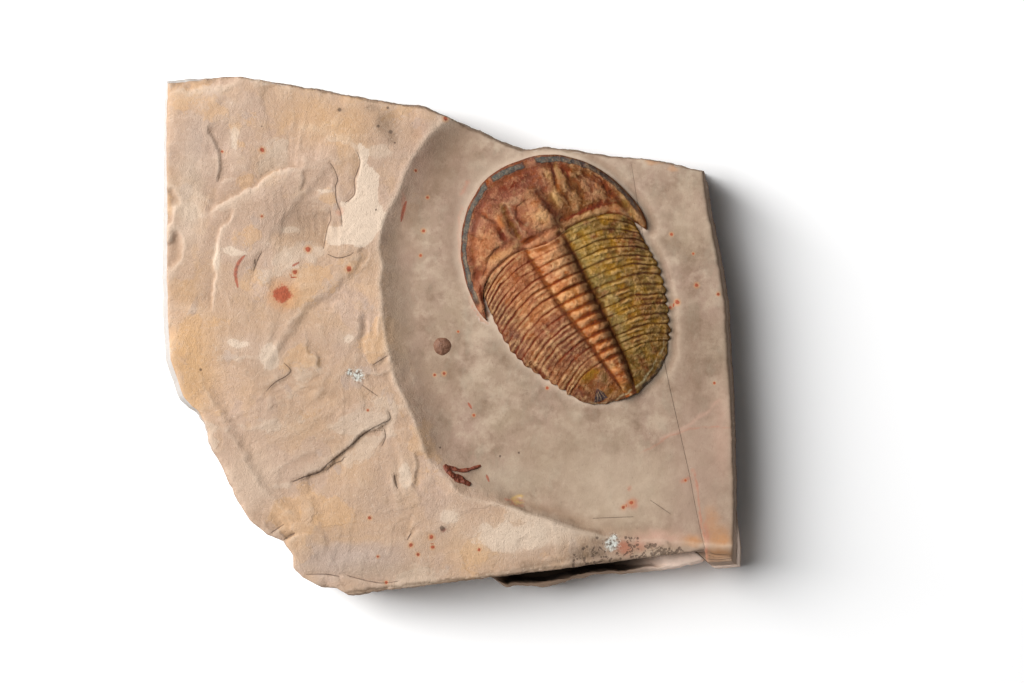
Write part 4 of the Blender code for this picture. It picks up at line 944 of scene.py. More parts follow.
# All furrows and ridges of the head: points, half width, height.
HEAD_LINES = [line[:3] for line in HEAD_FURROWS] + [
    ([(-29, -98), (-30, -86), (-29.5, -74), (-27, -61)], 3.2, -0.4),
    ([(-5, -93.5), (-13, -92), (-18, -89), (-21, -82), (-20, -75), (-17, -68)], 1.4, -0.24),
    ([(8, -98), (9.5, -88), (12.5, -78), (15.5, -68), (17, -57)], 2.6, -0.4),
    ([(-8, -88), (-2, -86), (4, -86)], 1.4, -0.14),
    ([(-30, -102), (-24, -97), (-18, -100)], 1.4, 0.14),
    ([(22, -112), (20, -100), (14, -92)], 1.6, -0.25),
    ([(-86.5, -22), (-89, -12), (-90.5, -4)], 1.2, 0.2),
]


HEAD_GRID = (250, 250)    # rows and columns of the head


def head_piece(size):
    """The head shield: a Coons patch between its front, sides and rear border, lifted by its height,
    with its edge turned down into the stone."""
    u = np.linspace(0.0, 1.0, HEAD_GRID[1])
    v = np.linspace(0.0, 1.0, HEAD_GRID[0]) ** 0.92
    front, rear = carried(spline(HEAD_FRONT, 1.0), u)[None], carried(spline(HEAD_REAR, 1.0), u)[None]
    west, east = carried(spline(HEAD_LEFT, 1.0), v)[:, None], carried(spline(HEAD_RIGHT, 1.0), v)[:, None]
    a, b = u[None, :, None], v[:, None, None]
    front_corners = (1 - a) * front[:, :1] + a * front[:, -1:]
    rear_corners = (1 - a) * rear[:, :1] + a * rear[:, -1:]
    corners = (1 - b) * front_corners + b * rear_corners
    flat = ((1 - b) * front + b * rear + (1 - a) * west + a * east - corners)[::-1]
    t, s = flat[..., 0], flat[..., 1]
    z = head_height(t, s, size)
    return t, s, skirted(t, s, z, size)


SUNK = 0.5                # how far the shell's edge goes down into the stone


def skirted(t, s, z, size):
    """A shell's grid in the slab's frame, with its edge carried down into the stone."""
    x, y = slab_plan(t, s)
    grid = np.dstack([x, y, size.floor / MM + size.margin / MM + z])
    loop = grid.reshape(-1, 3)[rim_of(*t.shape)]
    rings = []
    for share in (0.08, 0.3, 0.65, 1.0):
        level = loop[:, 2] + (size.floor / MM - SUNK - loop[:, 2]) * share
        rings.append(np.column_stack([loop[:, 0], loop[:, 1], level]))
    return closed_over(grid, np.array(rings))


def body_height(row, across, side, sign, t, s, size):
    """Height of the body above its margin. Side lobes fall as 1 - side^k, the axis stands up as
    1 - across^k, and each segment is a rounded band between two seams: a ring on the axis, one rib
    split by a slanting furrow on the left, and a broad rib with a knob on the right. Towards the
    head the body takes on its height and sinks under it."""
    place = plan(t, s) * STEP
    phase = np.where(row < SEGMENTS, row % 1.0, (row - SEGMENTS) / 0.9 % 1.0)
    tail = smooth(13.0, 13.6, row)
    end = smooth(14.6, 16.8, row)
    on_axis = side <= 0.0
    power = 2.2 if sign < 0 else 3.0
    z = size.pleura / MM * (1.0 - side ** power) * (1.0 - 0.5 * end)
    rise = (1.0 - 0.2 * smooth(11.0, 15.0, row)) * (1.0 - smooth(15.6, 16.5, row))
    z = z + size.axis / MM * rise * (1.0 - np.abs(across) ** np.where(across > 0.0, 2.2, 3.0)) * on_axis
    furrow = 0.26 * rise * np.where(across > 0.0, 0.5, 0.35 + 0.65 * smooth(-30.0, 10.0, s))
    z = z - furrow * np.where(on_axis, bell(1.0 - np.abs(across), 0.2), bell(side, 0.07))
    strength = size.segment / MM * (1.0 - 0.68 * tail) * (1.0 - end)
    seam = np.minimum(phase, 1.0 - phase)
    wander = 0.22 * noise(plan(row * 0.7, t * 0.09), 1.0, 147)
    uneven = noise(plan(row * 1.7, t * 0.2), 1.0, 148)
    soft = smooth(0.0, 40.0, s)
    ring = np.exp(-np.abs((phase - 0.5) / (0.41 - 0.09 * soft)) ** (5.0 - 2.2 * soft))
    ring = ring * (1.0 - 0.3 * np.abs(across) ** 2 + 0.5 * uneven) * (0.45 + 0.7 * smooth(-32.0, 12.0, s))
    band = 0.4 + 0.2 * np.minimum(side, 1.0)
    half = np.where(phase < band, phase / band, (phase - band) / (1.0 - band))
    single, double = (np.sqrt(np.clip(1.0 - (2.0 * part - 1.0) ** 4, 0.0, 1.0)) for part in (phase, half))
    if sign > 0:
        rib = 0.65 * single + 0.12 * uneven - (0.1 + 1.3 * wander) * bell(seam, 0.13)
        rib = rib - (0.1 + wander) * bell(phase - band, 0.08) * smooth(0.02, 0.12, side)
        rib = rib + bell(side - 0.4 - 0.06 * uneven, 0.08) * bell(phase - 0.3, 0.17) * smooth(1.5, 4.0, row)
    else:
        rib = 0.42 * single + (double - single) * (0.06 + 0.18 * np.minimum(side, 1.0)) + 0.1 * uneven
        rib = rib - (0.13 + 1.3 * wander) * bell(seam, 0.12)
        rib = rib - (0.05 + 0.6 * wander) * bell(phase - band, 0.09)
    vary = 1.0 + 0.45 * noise(plan(np.floor(row) * 3.1, t * 0.06), 1.0, 141)
    z = z + strength * np.where(on_axis, ring, rib * (1.0 - 0.3 * side)) * vary
    grit = 0.13 if sign > 0 else 0.07
    z = z + grit * rough(place, 1.3, 3, 143) + 0.03 * rough(place, 0.5, 2, 145)
    z = z - 0.15 * bell(side - 1.0, 0.03) * (row < SEGMENTS)
    head = spline(HEAD_LEFT, 4.0)[::-1], HEAD_FRONT[1:-1], spline(HEAD_RIGHT, 4.0), HEAD_REAR[::-1]
    hidden = depth_inside(t, s, np.vstack(head))
    meet = 0.8 * smooth(-9.0, -0.5, hidden) * smooth(78.0, 66.0, np.abs(t))
    z = z + (head_height(t, s, size) / size.relief - 0.12 - z) * meet
    return z * size.relief - 1.3 * smooth(0.5, 5.5, hidden)


def read_stations(row):
    """Axis middle, half width and both margins at each row, from the stations' tables."""
    numbers = [*range(SEGMENTS + 1), *(station[0] for station in TAIL)]
    behind = np.array([(*middle, half, *left, *right) for _, middle, half, left, right in TAIL]).T
    ahead = AXIS_T, AXIS_S, AXIS_HALF, LEFT_T, LEFT_S, RIGHT_T, RIGHT_S
    columns = (np.interp(row, numbers, [*first, *rest]) for first, rest in zip(ahead, behind))
    middle_t, middle_s, half, left_t, left_s, right_t, right_s = columns
    return (middle_t, middle_s), half, (left_t, left_s), (right_t, right_s)


LEAD = 9.0                # length of a row ahead of the first, under the head


def body_piece(size):
    """The thorax's thirteen segments and the tail shield in one grid. A row runs from the left margin
    over the axis to the right one and bends towards the tail as side^k; each segment's end stands out
    past the margin by its tooth."""
    row = np.concatenate([np.linspace(-1.1, 13.0, 306)[:-1], np.linspace(13.0, 16.8, 72)])[:, None]
    wing = np.linspace(0.0, 1.0, 92)[1:] ** 0.95
    axis = np.linspace(-1.0, 1.0, 50)
    (middle_t, middle_s), half, left, right = read_stations(np.maximum(row, 0.0))
    ahead = LEAD * np.minimum(row, 0.0)
    middle_s = middle_s + ahead
    phase = np.where(row < SEGMENTS, row % 1.0, 0.0)
    tooth = np.clip(np.sin(math.pi * phase ** 1.4), 0.0, 1.0) * smooth(0.0, 7.0, row) * size.tooth / MM / STEP
    tooth = tooth * (1.0 + 0.4 * noise(plan(np.floor(row) * 1.7, 0.0), 1.0, 146))
    parts = []
    for sign, margin, bend in ((-1, left, 2.0), (1, right, 3.2)):
        width = (margin[0] - middle_t) * sign - half
        t = middle_t + sign * (half + (width + tooth * wing ** 6) * wing)
        s = middle_s + (margin[1] + ahead - middle_s) * wing ** bend
        s = s + 2.2 * phase * (1.0 - phase) * wing ** 4 * smooth(4.0, 8.0, row)
        s = s + 0.9 * np.minimum(wing * 3.0, 1.0) * rough(plan(t, s), 13.0, 3, 149)
        parts.append((t, s, body_height(row, np.zeros(t.shape), wing, sign, t, s, size)))
    t = middle_t + axis * half
    s = middle_s + 1.2 * (axis ** 2 - 0.5) * (row < SEGMENTS)
    crown = t, s, body_height(row, axis, np.zeros(t.shape), 0, t, s, size)
    whole = [np.hstack([parts[0][k][:, ::-1], crown[k], parts[1][k]])[::-1] for k in range(3)]
    side = np.broadcast_to(np.concatenate([-wing[::-1] - 1.0, axis, wing + 1.0]), whole[0].shape)
    rows = np.broadcast_to(row[::-1], whole[0].shape)
    return rows, side, whole, skirted(*whole, size)


# ---------------------------------------------------------------- the small shells


def polar_piece(height, middle, radius, base):
    """A round shell from its height by radius share and place, and its radius by angle: rings from
    the middle outwards and a wall down to the base."""
    share = np.concatenate([np.linspace(0.0, 1.0, 60)[1:], np.ones(3)])[:, None]
    angle = np.linspace(0.0, math.tau, 160, endpoint=False)[None]
    x = middle[0] + radius(angle) * share * np.cos(angle)
    y = middle[1] + radius(angle) * share * np.sin(angle)
    z = height(share, x, y)
    z[-3:] = z[-4] + (base - z[-4]) * np.array([0.3, 0.7, 1.0])[:, None]
    return tube(np.dstack([x, y, z]))


def round_shell(size):
    """The round shell: a low dome with growth lines round a raised middle and one dented side."""
    at_x, at_y = ROUND_SHELL_AT
    floor = float(stone_height(np.array([at_x]), np.array([at_y]), size)[0])

    def height(share, x, y):
        """The dome over the floor, with its knob and dent."""
        dome = 0.5 * (1.0 - share ** 2.6) + 0.02 * np.cos(share * 34.0) * (1.0 - share)
        knob = 0.1 * bell(np.hypot(x - at_x + 0.25, y - at_y - 0.2), 0.4)
        dent = 0.12 * bell(np.hypot(x - at_x - 0.5, y - at_y + 0.55), 0.45)
        return floor + 0.04 + dome + knob - dent + 0.035 * rough(plan(x, y), 0.6, 3, 151)

    def radius(angle):
        """The slightly uneven outline."""
        return ROUND_SHELL_RADIUS * (1.0 + 0.025 * np.sin(3.0 * angle + 0.6) + 0.015 * np.sin(7.0 * angle))

    return polar_piece(height, ROUND_SHELL_AT, radius, floor - 0.3)


def shell_arm(points, half_width, height, seed, size):
    """One arm of the broken shell: an arch of half a circle carried along its line, tapering to its
    ends, with knobs and a ragged edge, and closed below."""
    line = spline(points, 0.04)
    share = np.linspace(0.0, 1.0, len(line))[:, None]
    along = np.gradient(line, axis=0)
    normal = plan(-along[:, 1], along[:, 0]) / np.hypot(along[:, 0], along[:, 1])[:, None]
    turn = np.linspace(0.0, math.pi, 36)[None]
    ragged = 1.0 + 0.3 * noise(plan(share * 9.0, seed), 1.0, seed)
    taper = 0.3 + 0.7 * np.sqrt(np.sin(math.pi * (0.06 + 0.88 * share)))
    width = half_width * taper * ragged
    x = line[:, :1] - normal[:, :1] * np.cos(turn) * width
    y = line[:, 1:] - normal[:, 1:] * np.cos(turn) * width
    ground = stone_height(x, y, size)
    knobs = 1.0 + 0.35 * rough(plan(x, y), 0.7, 3, seed + 2)
    z = ground - 0.1 + height * np.sin(turn) ** 0.8 * knobs * (0.45 + 0.55 * np.sin(math.pi * share) ** 0.5)
    grid = np.dstack([x, y, z]).transpose(1, 0, 2)
    loop = grid.reshape(-1, 3)[rim_of(*grid.shape[:2])]
    rings = [np.column_stack([loop[:, 0], loop[:, 1], loop[:, 2] - 0.25 * (k + 1)]) for k in range(2)]
    return closed_over(grid, np.array(rings))


# ---------------------------------------------------------------- finishes


class Wire:
    """One value in a finish's node tree. Arithmetic on it adds Math nodes, so a formula reads as one."""

    def __init__(self, finish, socket):
        self.finish = finish
        self.socket = socket

    def math(self, operation, *values):
        """A Math node on the values."""
        return self.finish.node("ShaderNodeMath", {"operation": operation}, values)

    def __add__(self, other):
        return self.math("ADD", self, other)

    def __sub__(self, other):
        return self.math("SUBTRACT", self, other)

    def __rsub__(self, other):
        return self.math("SUBTRACT", other, self)

    def __mul__(self, other):
        return self.math("MULTIPLY", self, other)

    def __neg__(self):
        return self.math("MULTIPLY", self, -1.0)

    __radd__ = __add__
    __rmul__ = __mul__

    def larger(self, other):
        """The larger of two values."""
        return self.math("MAXIMUM", self, other)

    def held(self):
        """The value kept between 0 and 1."""
        return self.math("MINIMUM", self, 1.0).larger(0.0)

    def rise(self, low, high):
        """0 below low, 1 above high, smooth between."""
        settings = {"interpolation_type": "SMOOTHSTEP"}
        inputs = {"Value": self, "From Min": low, "From Max": high}
        return self.finish.node("ShaderNodeMapRange", settings, inputs)


class Finish:
    """A material being made: its shader, its colour so far, and one method that adds any node and
    wires its inputs."""

    def __init__(self, name, colour):
        self.material = bpy.data.materials.new(name)
        self.material.use_nodes = True
        self.nodes = self.material.node_tree.nodes
        self.links = self.material.node_tree.links
        self.shader = self.nodes["Principled BSDF"]
        place = self.node("ShaderNodeTexCoord", {}, {}, "Object")
        self.place = self.node("ShaderNodeVectorMath", {"operation": "SCALE"}, {0: place, "Scale": 1.0 / MM})
        self.colour = colour

    def feed(self, socket, value):
        """Link a wire to a socket, or set a plain value on it."""
        if isinstance(value, Wire):
            self.links.new(value.socket, socket)
        elif socket.type == "RGBA":
            socket.default_value = (*value[:3], 1.0)
        else:
            socket.default_value = value

    def node(self, kind, settings, inputs, output=0):
        """A node of the kind with its settings and inputs, as the wire from one of its outputs."""
        node = self.nodes.new(kind)
        for key, value in settings.items():
            setattr(node, key, value)
        for key, value in inputs.items() if isinstance(inputs, dict) else enumerate(inputs):
            self.feed(node.inputs[key], value)
        return Wire(self, node.outputs[output])

    def tone(self, colour, saturation, value):
        """A colour with its saturation and its value multiplied."""
        inputs = {"Saturation": saturation, "Value": value, "Color": colour}
        return self.node("ShaderNodeHueSaturation", {}, inputs)

    def blend(self, first, second, share):
        """The first colour, turning into the second as the share goes from 0 to 1."""
        return self.node("ShaderNodeMix", {"data_type": "RGBA"}, {0: share, 6: first, 7: second}, 2)

    def coat(self, tint, share):
        """Lay a colour over the colour so far, by a share that the Mix node keeps between 0 and 1."""
        self.colour = self.blend(self.colour, tint, share)

    def field(self, name):
        """A number that the mesh carries."""
        return self.node("ShaderNodeAttribute", {"attribute_name": name}, {}, "Fac")

    def paint(self):
        """The colour that the mesh carries."""
        return self.node("ShaderNodeAttribute", {"attribute_name": "paint"}, {}, "Vector")

    def span(self, name):
        """The length of an offset that the mesh carries."""
        vector = self.node("ShaderNodeAttribute", {"attribute_name": name}, {}, "Vector")
        return self.node("ShaderNodeVectorMath", {"operation": "LENGTH"}, (vector,), "Value")

    def grain(self, size, detail=3.0, roughness=0.55, stretch=(1.0, 1.0, 1.0), shift=0.0):
        """Noise with features of the size in millimetres, from about -1 to 1. The stretch makes them
        longer along an axis where it is below 1, and the shift picks the pattern."""
        vector = self.node("ShaderNodeVectorMath", {"operation": "MULTIPLY"}, (self.place, stretch))
        moved = (shift, shift * 0.7, shift * 1.3)
        vector = self.node("ShaderNodeVectorMath", {"operation": "ADD"}, (vector, moved))
        inputs = {"Vector": vector, "Scale": 1.0 / size, "Detail": detail, "Roughness": roughness}
        return (self.node("ShaderNodeTexNoise", {}, inputs) - 0.5) * 2.6

    def relief(self, height, depth):
        """A bump of the height's value times the depth in millimetres."""
        inputs = {"Height": height, "Distance": depth * MM, "Strength": 1.0}
        return self.node("ShaderNodeBump", {}, inputs)

    def done(self, roughness, normal=None, specular=0.5):
        """Feed the shader and give the material."""
        self.feed(self.shader.inputs["Base Color"], self.colour)
        self.feed(self.shader.inputs["Roughness"], roughness)
        if normal is not None:
            self.feed(self.shader.inputs["Normal"], normal)
        self.shader.inputs["Specular IOR Level"].default_value = specular
        return self.material


# Flakes of the face: size, level where they start, colour, strength, shift and stretch of their noise.
FLAKES = [(12.0, 0.08, "rose", 0.55, 11.0, (1.0, 0.6, 1.0)), (7.0, 0.3, "cream", 0.5, 17.0, (0.7, 1.0, 1.0)),
          (9.0, -0.3, "brown", 0.2, 23.0, (1.0, 1.0, 1.0)), (4.5, 0.45, "lilac", 0.4, 31.0, (1.0, 0.7, 1.0)),
          (8.0, 0.3, "ochre", 0.4, 41.0, (0.8, 0.8, 1.0))]


def face_finish(look):
    """Mudstone of the face: thin flakes with crisp edges in mottled tan, cream and rose, coloured
    places, the duller ground floor, and the small marks."""
    f = Finish("mudstone_face", look.tan)
    ground, hollow, crystal = f.field("ground"), f.field("hollow"), f.field("crystal")
    broad, middle, fine = f.grain(9.0, 3.0), f.grain(2.4, 4.0, 0.6), f.grain(0.5, 4.0, 0.65)
    dust = f.grain(0.16, 2.0, 0.6)
    rock = 1.0 - ground.held()
    f.coat(look.rose, broad * 0.9 + middle * 0.5 + 0.45)
    f.coat(look.ochre, f.field("ochre") * 1.2 + 0.35 * middle + 0.15 * fine)
    f.coat(look.lilac, (f.field("lilac") + 0.18 * middle) * 0.8)
    relief = 0.3 * middle
    for size, level, tint, strength, shift, stretch in FLAKES:
        flake = f.grain(size, 3.0, 0.42, stretch, shift)
        plate = flake.rise(level, level + 0.03)
        stain = (flake + 0.3 * middle + 0.14 * fine).rise(level, level + 0.06)
        f.coat(getattr(look, tint), (0.35 * plate + 0.85 * stain) * strength)
        relief = relief + plate * 0.35
    streaky = f.grain(1.5, 4.0, 0.6, (0.5, 1.2, 1.0), 7.0)
    pale = f.field("cream") + 0.9 * (streaky - 0.35).larger(0.0)
    edge = (f.field("cream") + 0.3 * middle + 0.15 * fine).rise(0.45, 0.55)
    f.coat(look.cream, (0.55 * edge + 0.5 * pale).held() * 0.9)
    f.coat(look.brown, (f.field("brown") + 0.2 * streaky) * 0.6)
    rough_face, f.colour = f.tone(f.colour, 0.98, 1.06), look.floor_tan
    blotch = f.grain(3.4, 4.0, 0.62, (1.0, 1.0, 1.0), 13.0)
    f.coat(look.floor_rose, broad * 0.9 + 0.5 + 0.4 * middle)
    streak = f.grain(2.6, 4.0, 0.65, (1.0, 0.55, 1.0), 47.0)
    f.coat(look.floor_dark, (blotch * 1.9 + 1.1 * streak + 0.05).held() * 0.7)
    f.coat(look.floor_light, (-blotch * 1.7 + 1.2 * middle).held() * 0.75)
    f.coat(look.floor_grey, (streak * 2.2 - 0.1).held() * 0.5)
    f.coat(look.floor_dark, (fine * 1.5 + dust * 0.8 - 0.25).held() * 0.45)
    f.colour = f.blend(rough_face, f.colour, ground)
    laid = f.blend(f.paint(), look.floor_dark, (middle * 0.5 + fine * 0.3 - 0.1).held() * 0.6)
    f.coat(laid, f.field("painted") * (0.9 + 0.25 * middle + 0.25 * fine))
    f.coat(look.cream, f.field("halo") * 0.1 + f.field("rim") * 0.25)
    # Painted shade in the face's hollows and painted highlight on its rises, from the hollowness.
    f.coat(look.brown, (hollow * 1.8).held() * 0.55)
    f.coat(look.cream, (hollow * -2.6).held() * 0.5)
    f.coat(look.brown, (fine * 1.6 + dust * 1.2 + 0.4 * middle - 0.35).held() * 0.4 * rock)
    f.coat(look.cream, (-fine * 1.6 - dust * 1.2 - 0.35).held() * 0.5 * rock)
    wobble = 0.22 * fine + 0.12 * dust
    ragged = f.span("fleck") + (0.3 * f.grain(0.8, 2.0, 0.6, (1.0, 1.0, 1.0), 59.0) + 0.5 * fine)
    f.coat(look.amber, (1.0 - ragged.rise(0.9, 2.4)) * 0.55)
    rust = f.blend(look.rust, look.rust_dark, fine * 1.6 + middle + 0.25)
    streak = 1.0 - (f.span("streak") + 2.0 * wobble).rise(0.4, 1.5)
    f.coat(rust, (1.0 - ragged.rise(0.7, 1.15)).larger(streak * 0.85) * 0.9)
    pit = 1.0 - (f.span("pit") + 1.6 * wobble).rise(0.5, 1.2)
    f.coat(look.pit, pit * 0.75)
    crack = 1.0 - (f.span("crack") + 1.3 * wobble).rise(0.4, 1.2)
    f.coat(look.pit, crack * (0.6 + 0.4 * middle).held() * (1.0 - 0.45 * ground))
    sparkle = f.grain(0.45, 3.0, 0.7, (1.0, 1.0, 1.0), 3.0)
    f.coat(look.pit, (crystal * 1.5 - 0.6 - 1.6 * sparkle).held() * 0.8)
    f.coat(look.crystal, (crystal * 1.6 - 0.5 + sparkle).held() * (sparkle * 2.0 + 0.6).held() * 1.2)
    height = (relief + 0.75 * fine + 0.8 * dust) * (rock * 0.75 + 0.25) - 1.5 * crack - 0.8 * pit
    return f.done((0.86 + 0.08 * fine).held(), f.relief(height, 0.07), 0.25)


def bed_finish(look):
    """Mudstone of the broken and sawn walls: level beds of slightly different tan, with painted light on the
    left wall and on the shelf in front of the corner, a darker coat on the back wall, and painted shade on
    the right wall and deep in the front cleft.
    """
    f = Finish("mudstone_bed", look.bed)
    level = f.grain(0.5, 3.0, 0.6, (0.06, 0.06, 1.0))
    thick = f.grain(2.2, 2.0, 0.5, (0.05, 0.05, 1.0), 4.0)
    middle, fine = f.grain(2.0, 4.0, 0.6), f.grain(0.4, 3.0, 0.6)
    f.coat(look.rose, 0.5 + 0.5 * thick + 0.3 * middle)
    f.coat(look.brown, (0.25 + 0.5 * level + 0.2 * fine).held() * 0.45)
    f.coat(look.cream, (middle * 0.8 - 0.25).held() * 0.6)
    # Painted light: the left wall, which faces the light, is painted nearly white.
    f.coat(look.dust, (f.field("left_wall_painted_light") * (0.9 + 0.3 * middle)).held() * 0.9)
    # A darker coat on the back wall, and painted shade on the right wall, which lies in shadow.
    f.coat(look.dirt, (f.field("dark_wall_and_shade") * (0.9 + 0.3 * fine)).held() * 0.75)
    # Painted light on the shelf in front of the corner, which lies in the upper bed's shade.
    f.coat(look.fresh, f.field("fresh") * (0.9 + 0.3 * middle))
    # Painted shade deep in the front cleft.
    f.coat(look.cleft, f.field("cleft").held() * 0.92)
    return f.done(0.9, f.relief(0.7 * level + 0.5 * middle + 0.3 * fine, 0.09), 0.25)


def shell_finish(name, look):
    """Fossil shell: the colours that the mesh carries, with painted highlights on the crests and
    painted shade in the hollows, fine mottling, and a grey band on the head."""
    f = Finish(name, None)
    hollow, grey = f.field("hollow"), f.field("grey")
    middle, fine, dust = f.grain(0.9, 4.0, 0.6), f.grain(0.3, 4.0, 0.65), f.grain(0.1, 2.0)
    f.colour = f.paint()
    darker = f.blend(f.tone(f.colour, 1.1, 0.62), look.red, 0.25)
    paler = f.blend(f.tone(f.colour, 0.95, 1.4), look.crest, 0.25)
    warm = f.grain(1.6, 3.0, 0.6, (1.0, 1.0, 1.0), 19.0)
    cool = f.grain(1.1, 3.0, 0.6, (1.0, 1.0, 1.0), 29.0)
    f.coat(look.orange, (warm * 1.3 + 0.4 * fine - 0.15).held() * 0.45)
    f.coat(look.rose, (cool * 1.4 + 0.4 * fine - 0.15).held() * 0.4)
    f.coat(look.olive, (-warm * 1.3 + 0.4 * fine - 0.3).held() * 0.35)
    f.coat(darker, (-middle * 1.3 - fine * 0.7 - 0.1).held() * 0.75)
    f.coat(paler, (middle * 1.1 + fine * 0.8 - 0.12).held() * 0.6)
    # Painted highlight on the crests, from the hollowness, and below it painted shade in the hollows.
    f.coat(paler, (-7.5 * hollow + 0.8 * fine + 0.5 * middle - 0.02).held() * 0.95)
    deep = (hollow * 5.5 + 0.5 * fine - 0.12).held()
    f.coat(darker, deep * 0.85)
    f.coat(look.slate_light, grey * (fine * 0.8 + 0.6 * dust).held() * 0.35)
    f.coat(look.furrow, grey * (1.0 - grey) * (2.2 + 1.5 * fine))
    f.coat(look.pale, (fine * 0.9 + dust * 0.6 - 0.8).held() * 0.5)
    f.coat(look.furrow, (-fine * 0.9 - dust * 0.5 - 0.8).held() * 0.6)
    f.colour = f.tone(f.colour, 1.12, 0.95)
    normal = f.relief(1.1 * fine + 0.5 * dust + 1.3 * middle, 0.12)
    return f.done((0.5 + 0.12 * fine + 0.15 * deep).held(), normal, 0.3)


def small_shell_finish(name, first, second, dark, light):
    """A small shell: two browns in patches, dark in its pits and light in worn places."""
    f = Finish(name, first)
    middle, fine = f.grain(0.9, 4.0, 0.65), f.grain(0.25, 3.0, 0.6)
    f.coat(second, middle * 0.9 + 0.45)
    f.coat(dark, -fine * 0.8 - middle * 0.5 - 0.25)
    f.coat(light, fine * 0.7 + middle * 0.5 - 0.35)
    return f.done((0.6 + 0.15 * fine).held(), f.relief(0.8 * fine + middle, 0.06), 0.4)


def pale_floor_finish(colour):
    """The plain pale floor, in two whites that hardly differ."""
    f = Finish("pale_floor", colour)
    f.coat((0.95, 0.95, 0.95), f.grain(40.0) * 0.2 + 0.5)
    return f.done(0.9)


# ---------------------------------------------------------------- the pieces' fields


# Colours laid on the shell: spots are (colour, middle t and s, reach across and along, strength)
# and strokes are (colour, points, half width, strength).
# The dark brown spots on the glabella's right flank and in the furrows beside it are painted shade; the pale
# crest spot and the peach spot on the glabella are painted highlights.
HEAD_SPOTS = [
    ("pink", -62, -80, 28, 24, 0.9), ("blush", -60, -70, 15, 14, 0.9), ("blush", -70, -52, 9, 14, 0.6),
    ("mauve", -66, -92, 14, 8, 0.6), ("rose", -42, -106, 22, 9, 0.85), ("rose", -6, -106, 22, 8, 0.7),
    ("red", -12, -113, 11, 4, 0.85), ("red", 1, -115, 8, 4, 0.75), ("red", -28, -113, 8, 4, 0.4),
    ("orange", -10, -121, 24, 2.5, 0.25), ("pale", -18, -97, 8, 4, 0.4), ("rose", -23, -76, 5, 16, 0.7),
    ("amber", -2, -73, 11, 17, 0.8), ("peach", 2, -72, 6, 11, 0.8), ("crest", 2, -72, 4, 6, 0.5),
    ("hazel", 3, -97, 8, 6, 0.5), ("bark", 11, -78, 2.5, 16, 0.6), ("rose", -9, -84, 3.5, 3, 0.6),
    ("amber", -13, -76, 5, 9, 0.6), ("orange", 1, -86, 6, 3, 0.6), ("slate", -15, -70, 3, 3, 0.4),
    ("orange", -37, -82, 4.5, 8, 0.95), ("bark", -33, -70, 4, 8, 0.6), ("red", -41, -73, 4.5, 7, 1),
    ("furrow", -42, -72, 2.4, 5, 0.55), ("rose", -24, -60, 7, 3.5, 0.7), ("orange", -20, -55, 7, 2.6, 1),
    ("orange", 11, -49, 5, 4, 0.8), ("blush", -6, -50, 16, 5, 0.7), ("bark", 12, -50, 5, 7, 0.8),
    ("orange", -18, -46, 9, 2.5, 0.7), ("bark", 15, -60, 4.5, 11, 0.8), ("bark", -33, -54, 5, 5, 0.75),
    ("peach", -52, -53, 18, 5, 0.6), ("rose", -82, -48, 5, 12, 0.6), ("rose", 18, -99, 6, 10, 0.6),
    ("rose", 15, -119, 5, 9, 0.7), ("straw", 25, -108, 4, 8, 0.5), ("straw", 22, -83, 7, 9, 0.6),
    ("straw", 36, -106, 2.5, 9, 0.5), ("red", 43, -103, 3.5, 6, 0.85), ("orange", 41, -107, 3, 3, 0.7),
    ("bark", 54, -82, 12, 18, 0.35), ("straw", 50, -106, 8, 2, 0.4), ("red", 74, -68, 6, 12, 0.6),
    ("red", 50, -58.5, 28, 3, 0.75), ("straw", 38, -51, 22, 3.5, 0.35), ("orange", 70, -47, 8, 5, 0.5),
    ("straw", 85, -48, 3, 20, 0.7), ("orange", -34, -127, 5, 4, 0.6), ("rose", 15, -124, 6, 6, 0.9),
    ("bark", 30, -131, 20, 3, 0.5)]
HEAD_STROKES = [(colour, points, half_width, strength)
                for points, _, _, colour, half_width, strength in HEAD_FURROWS] + [
    ("umber", [(-29, -98), (-30.5, -86), (-29, -74), (-27, -61)], 3, 0.7),
    ("furrow", [(-5, -93.5), (-13, -92), (-18, -89), (-21, -82), (-20, -75), (-17, -69)], 1, 0.75),
    ("furrow", [(8, -98), (9.5, -88), (12.5, -78), (15.5, -68), (16.5, -57)], 1.8, 0.6),
    ("pale", [(-24, -95), (-24, -80), (-23, -66)], 1.2, 0.5),
    ("rose", [(-96, -20), (-95, -8), (-92, 0)], 3, 0.8),
    ("red", [(-82, -34), (-87, -22), (-89.5, -8)], 1.8, 0.9),
    ("furrow", [(78, -42), (84, -30), (91, -17)], 1.6, 0.7)]
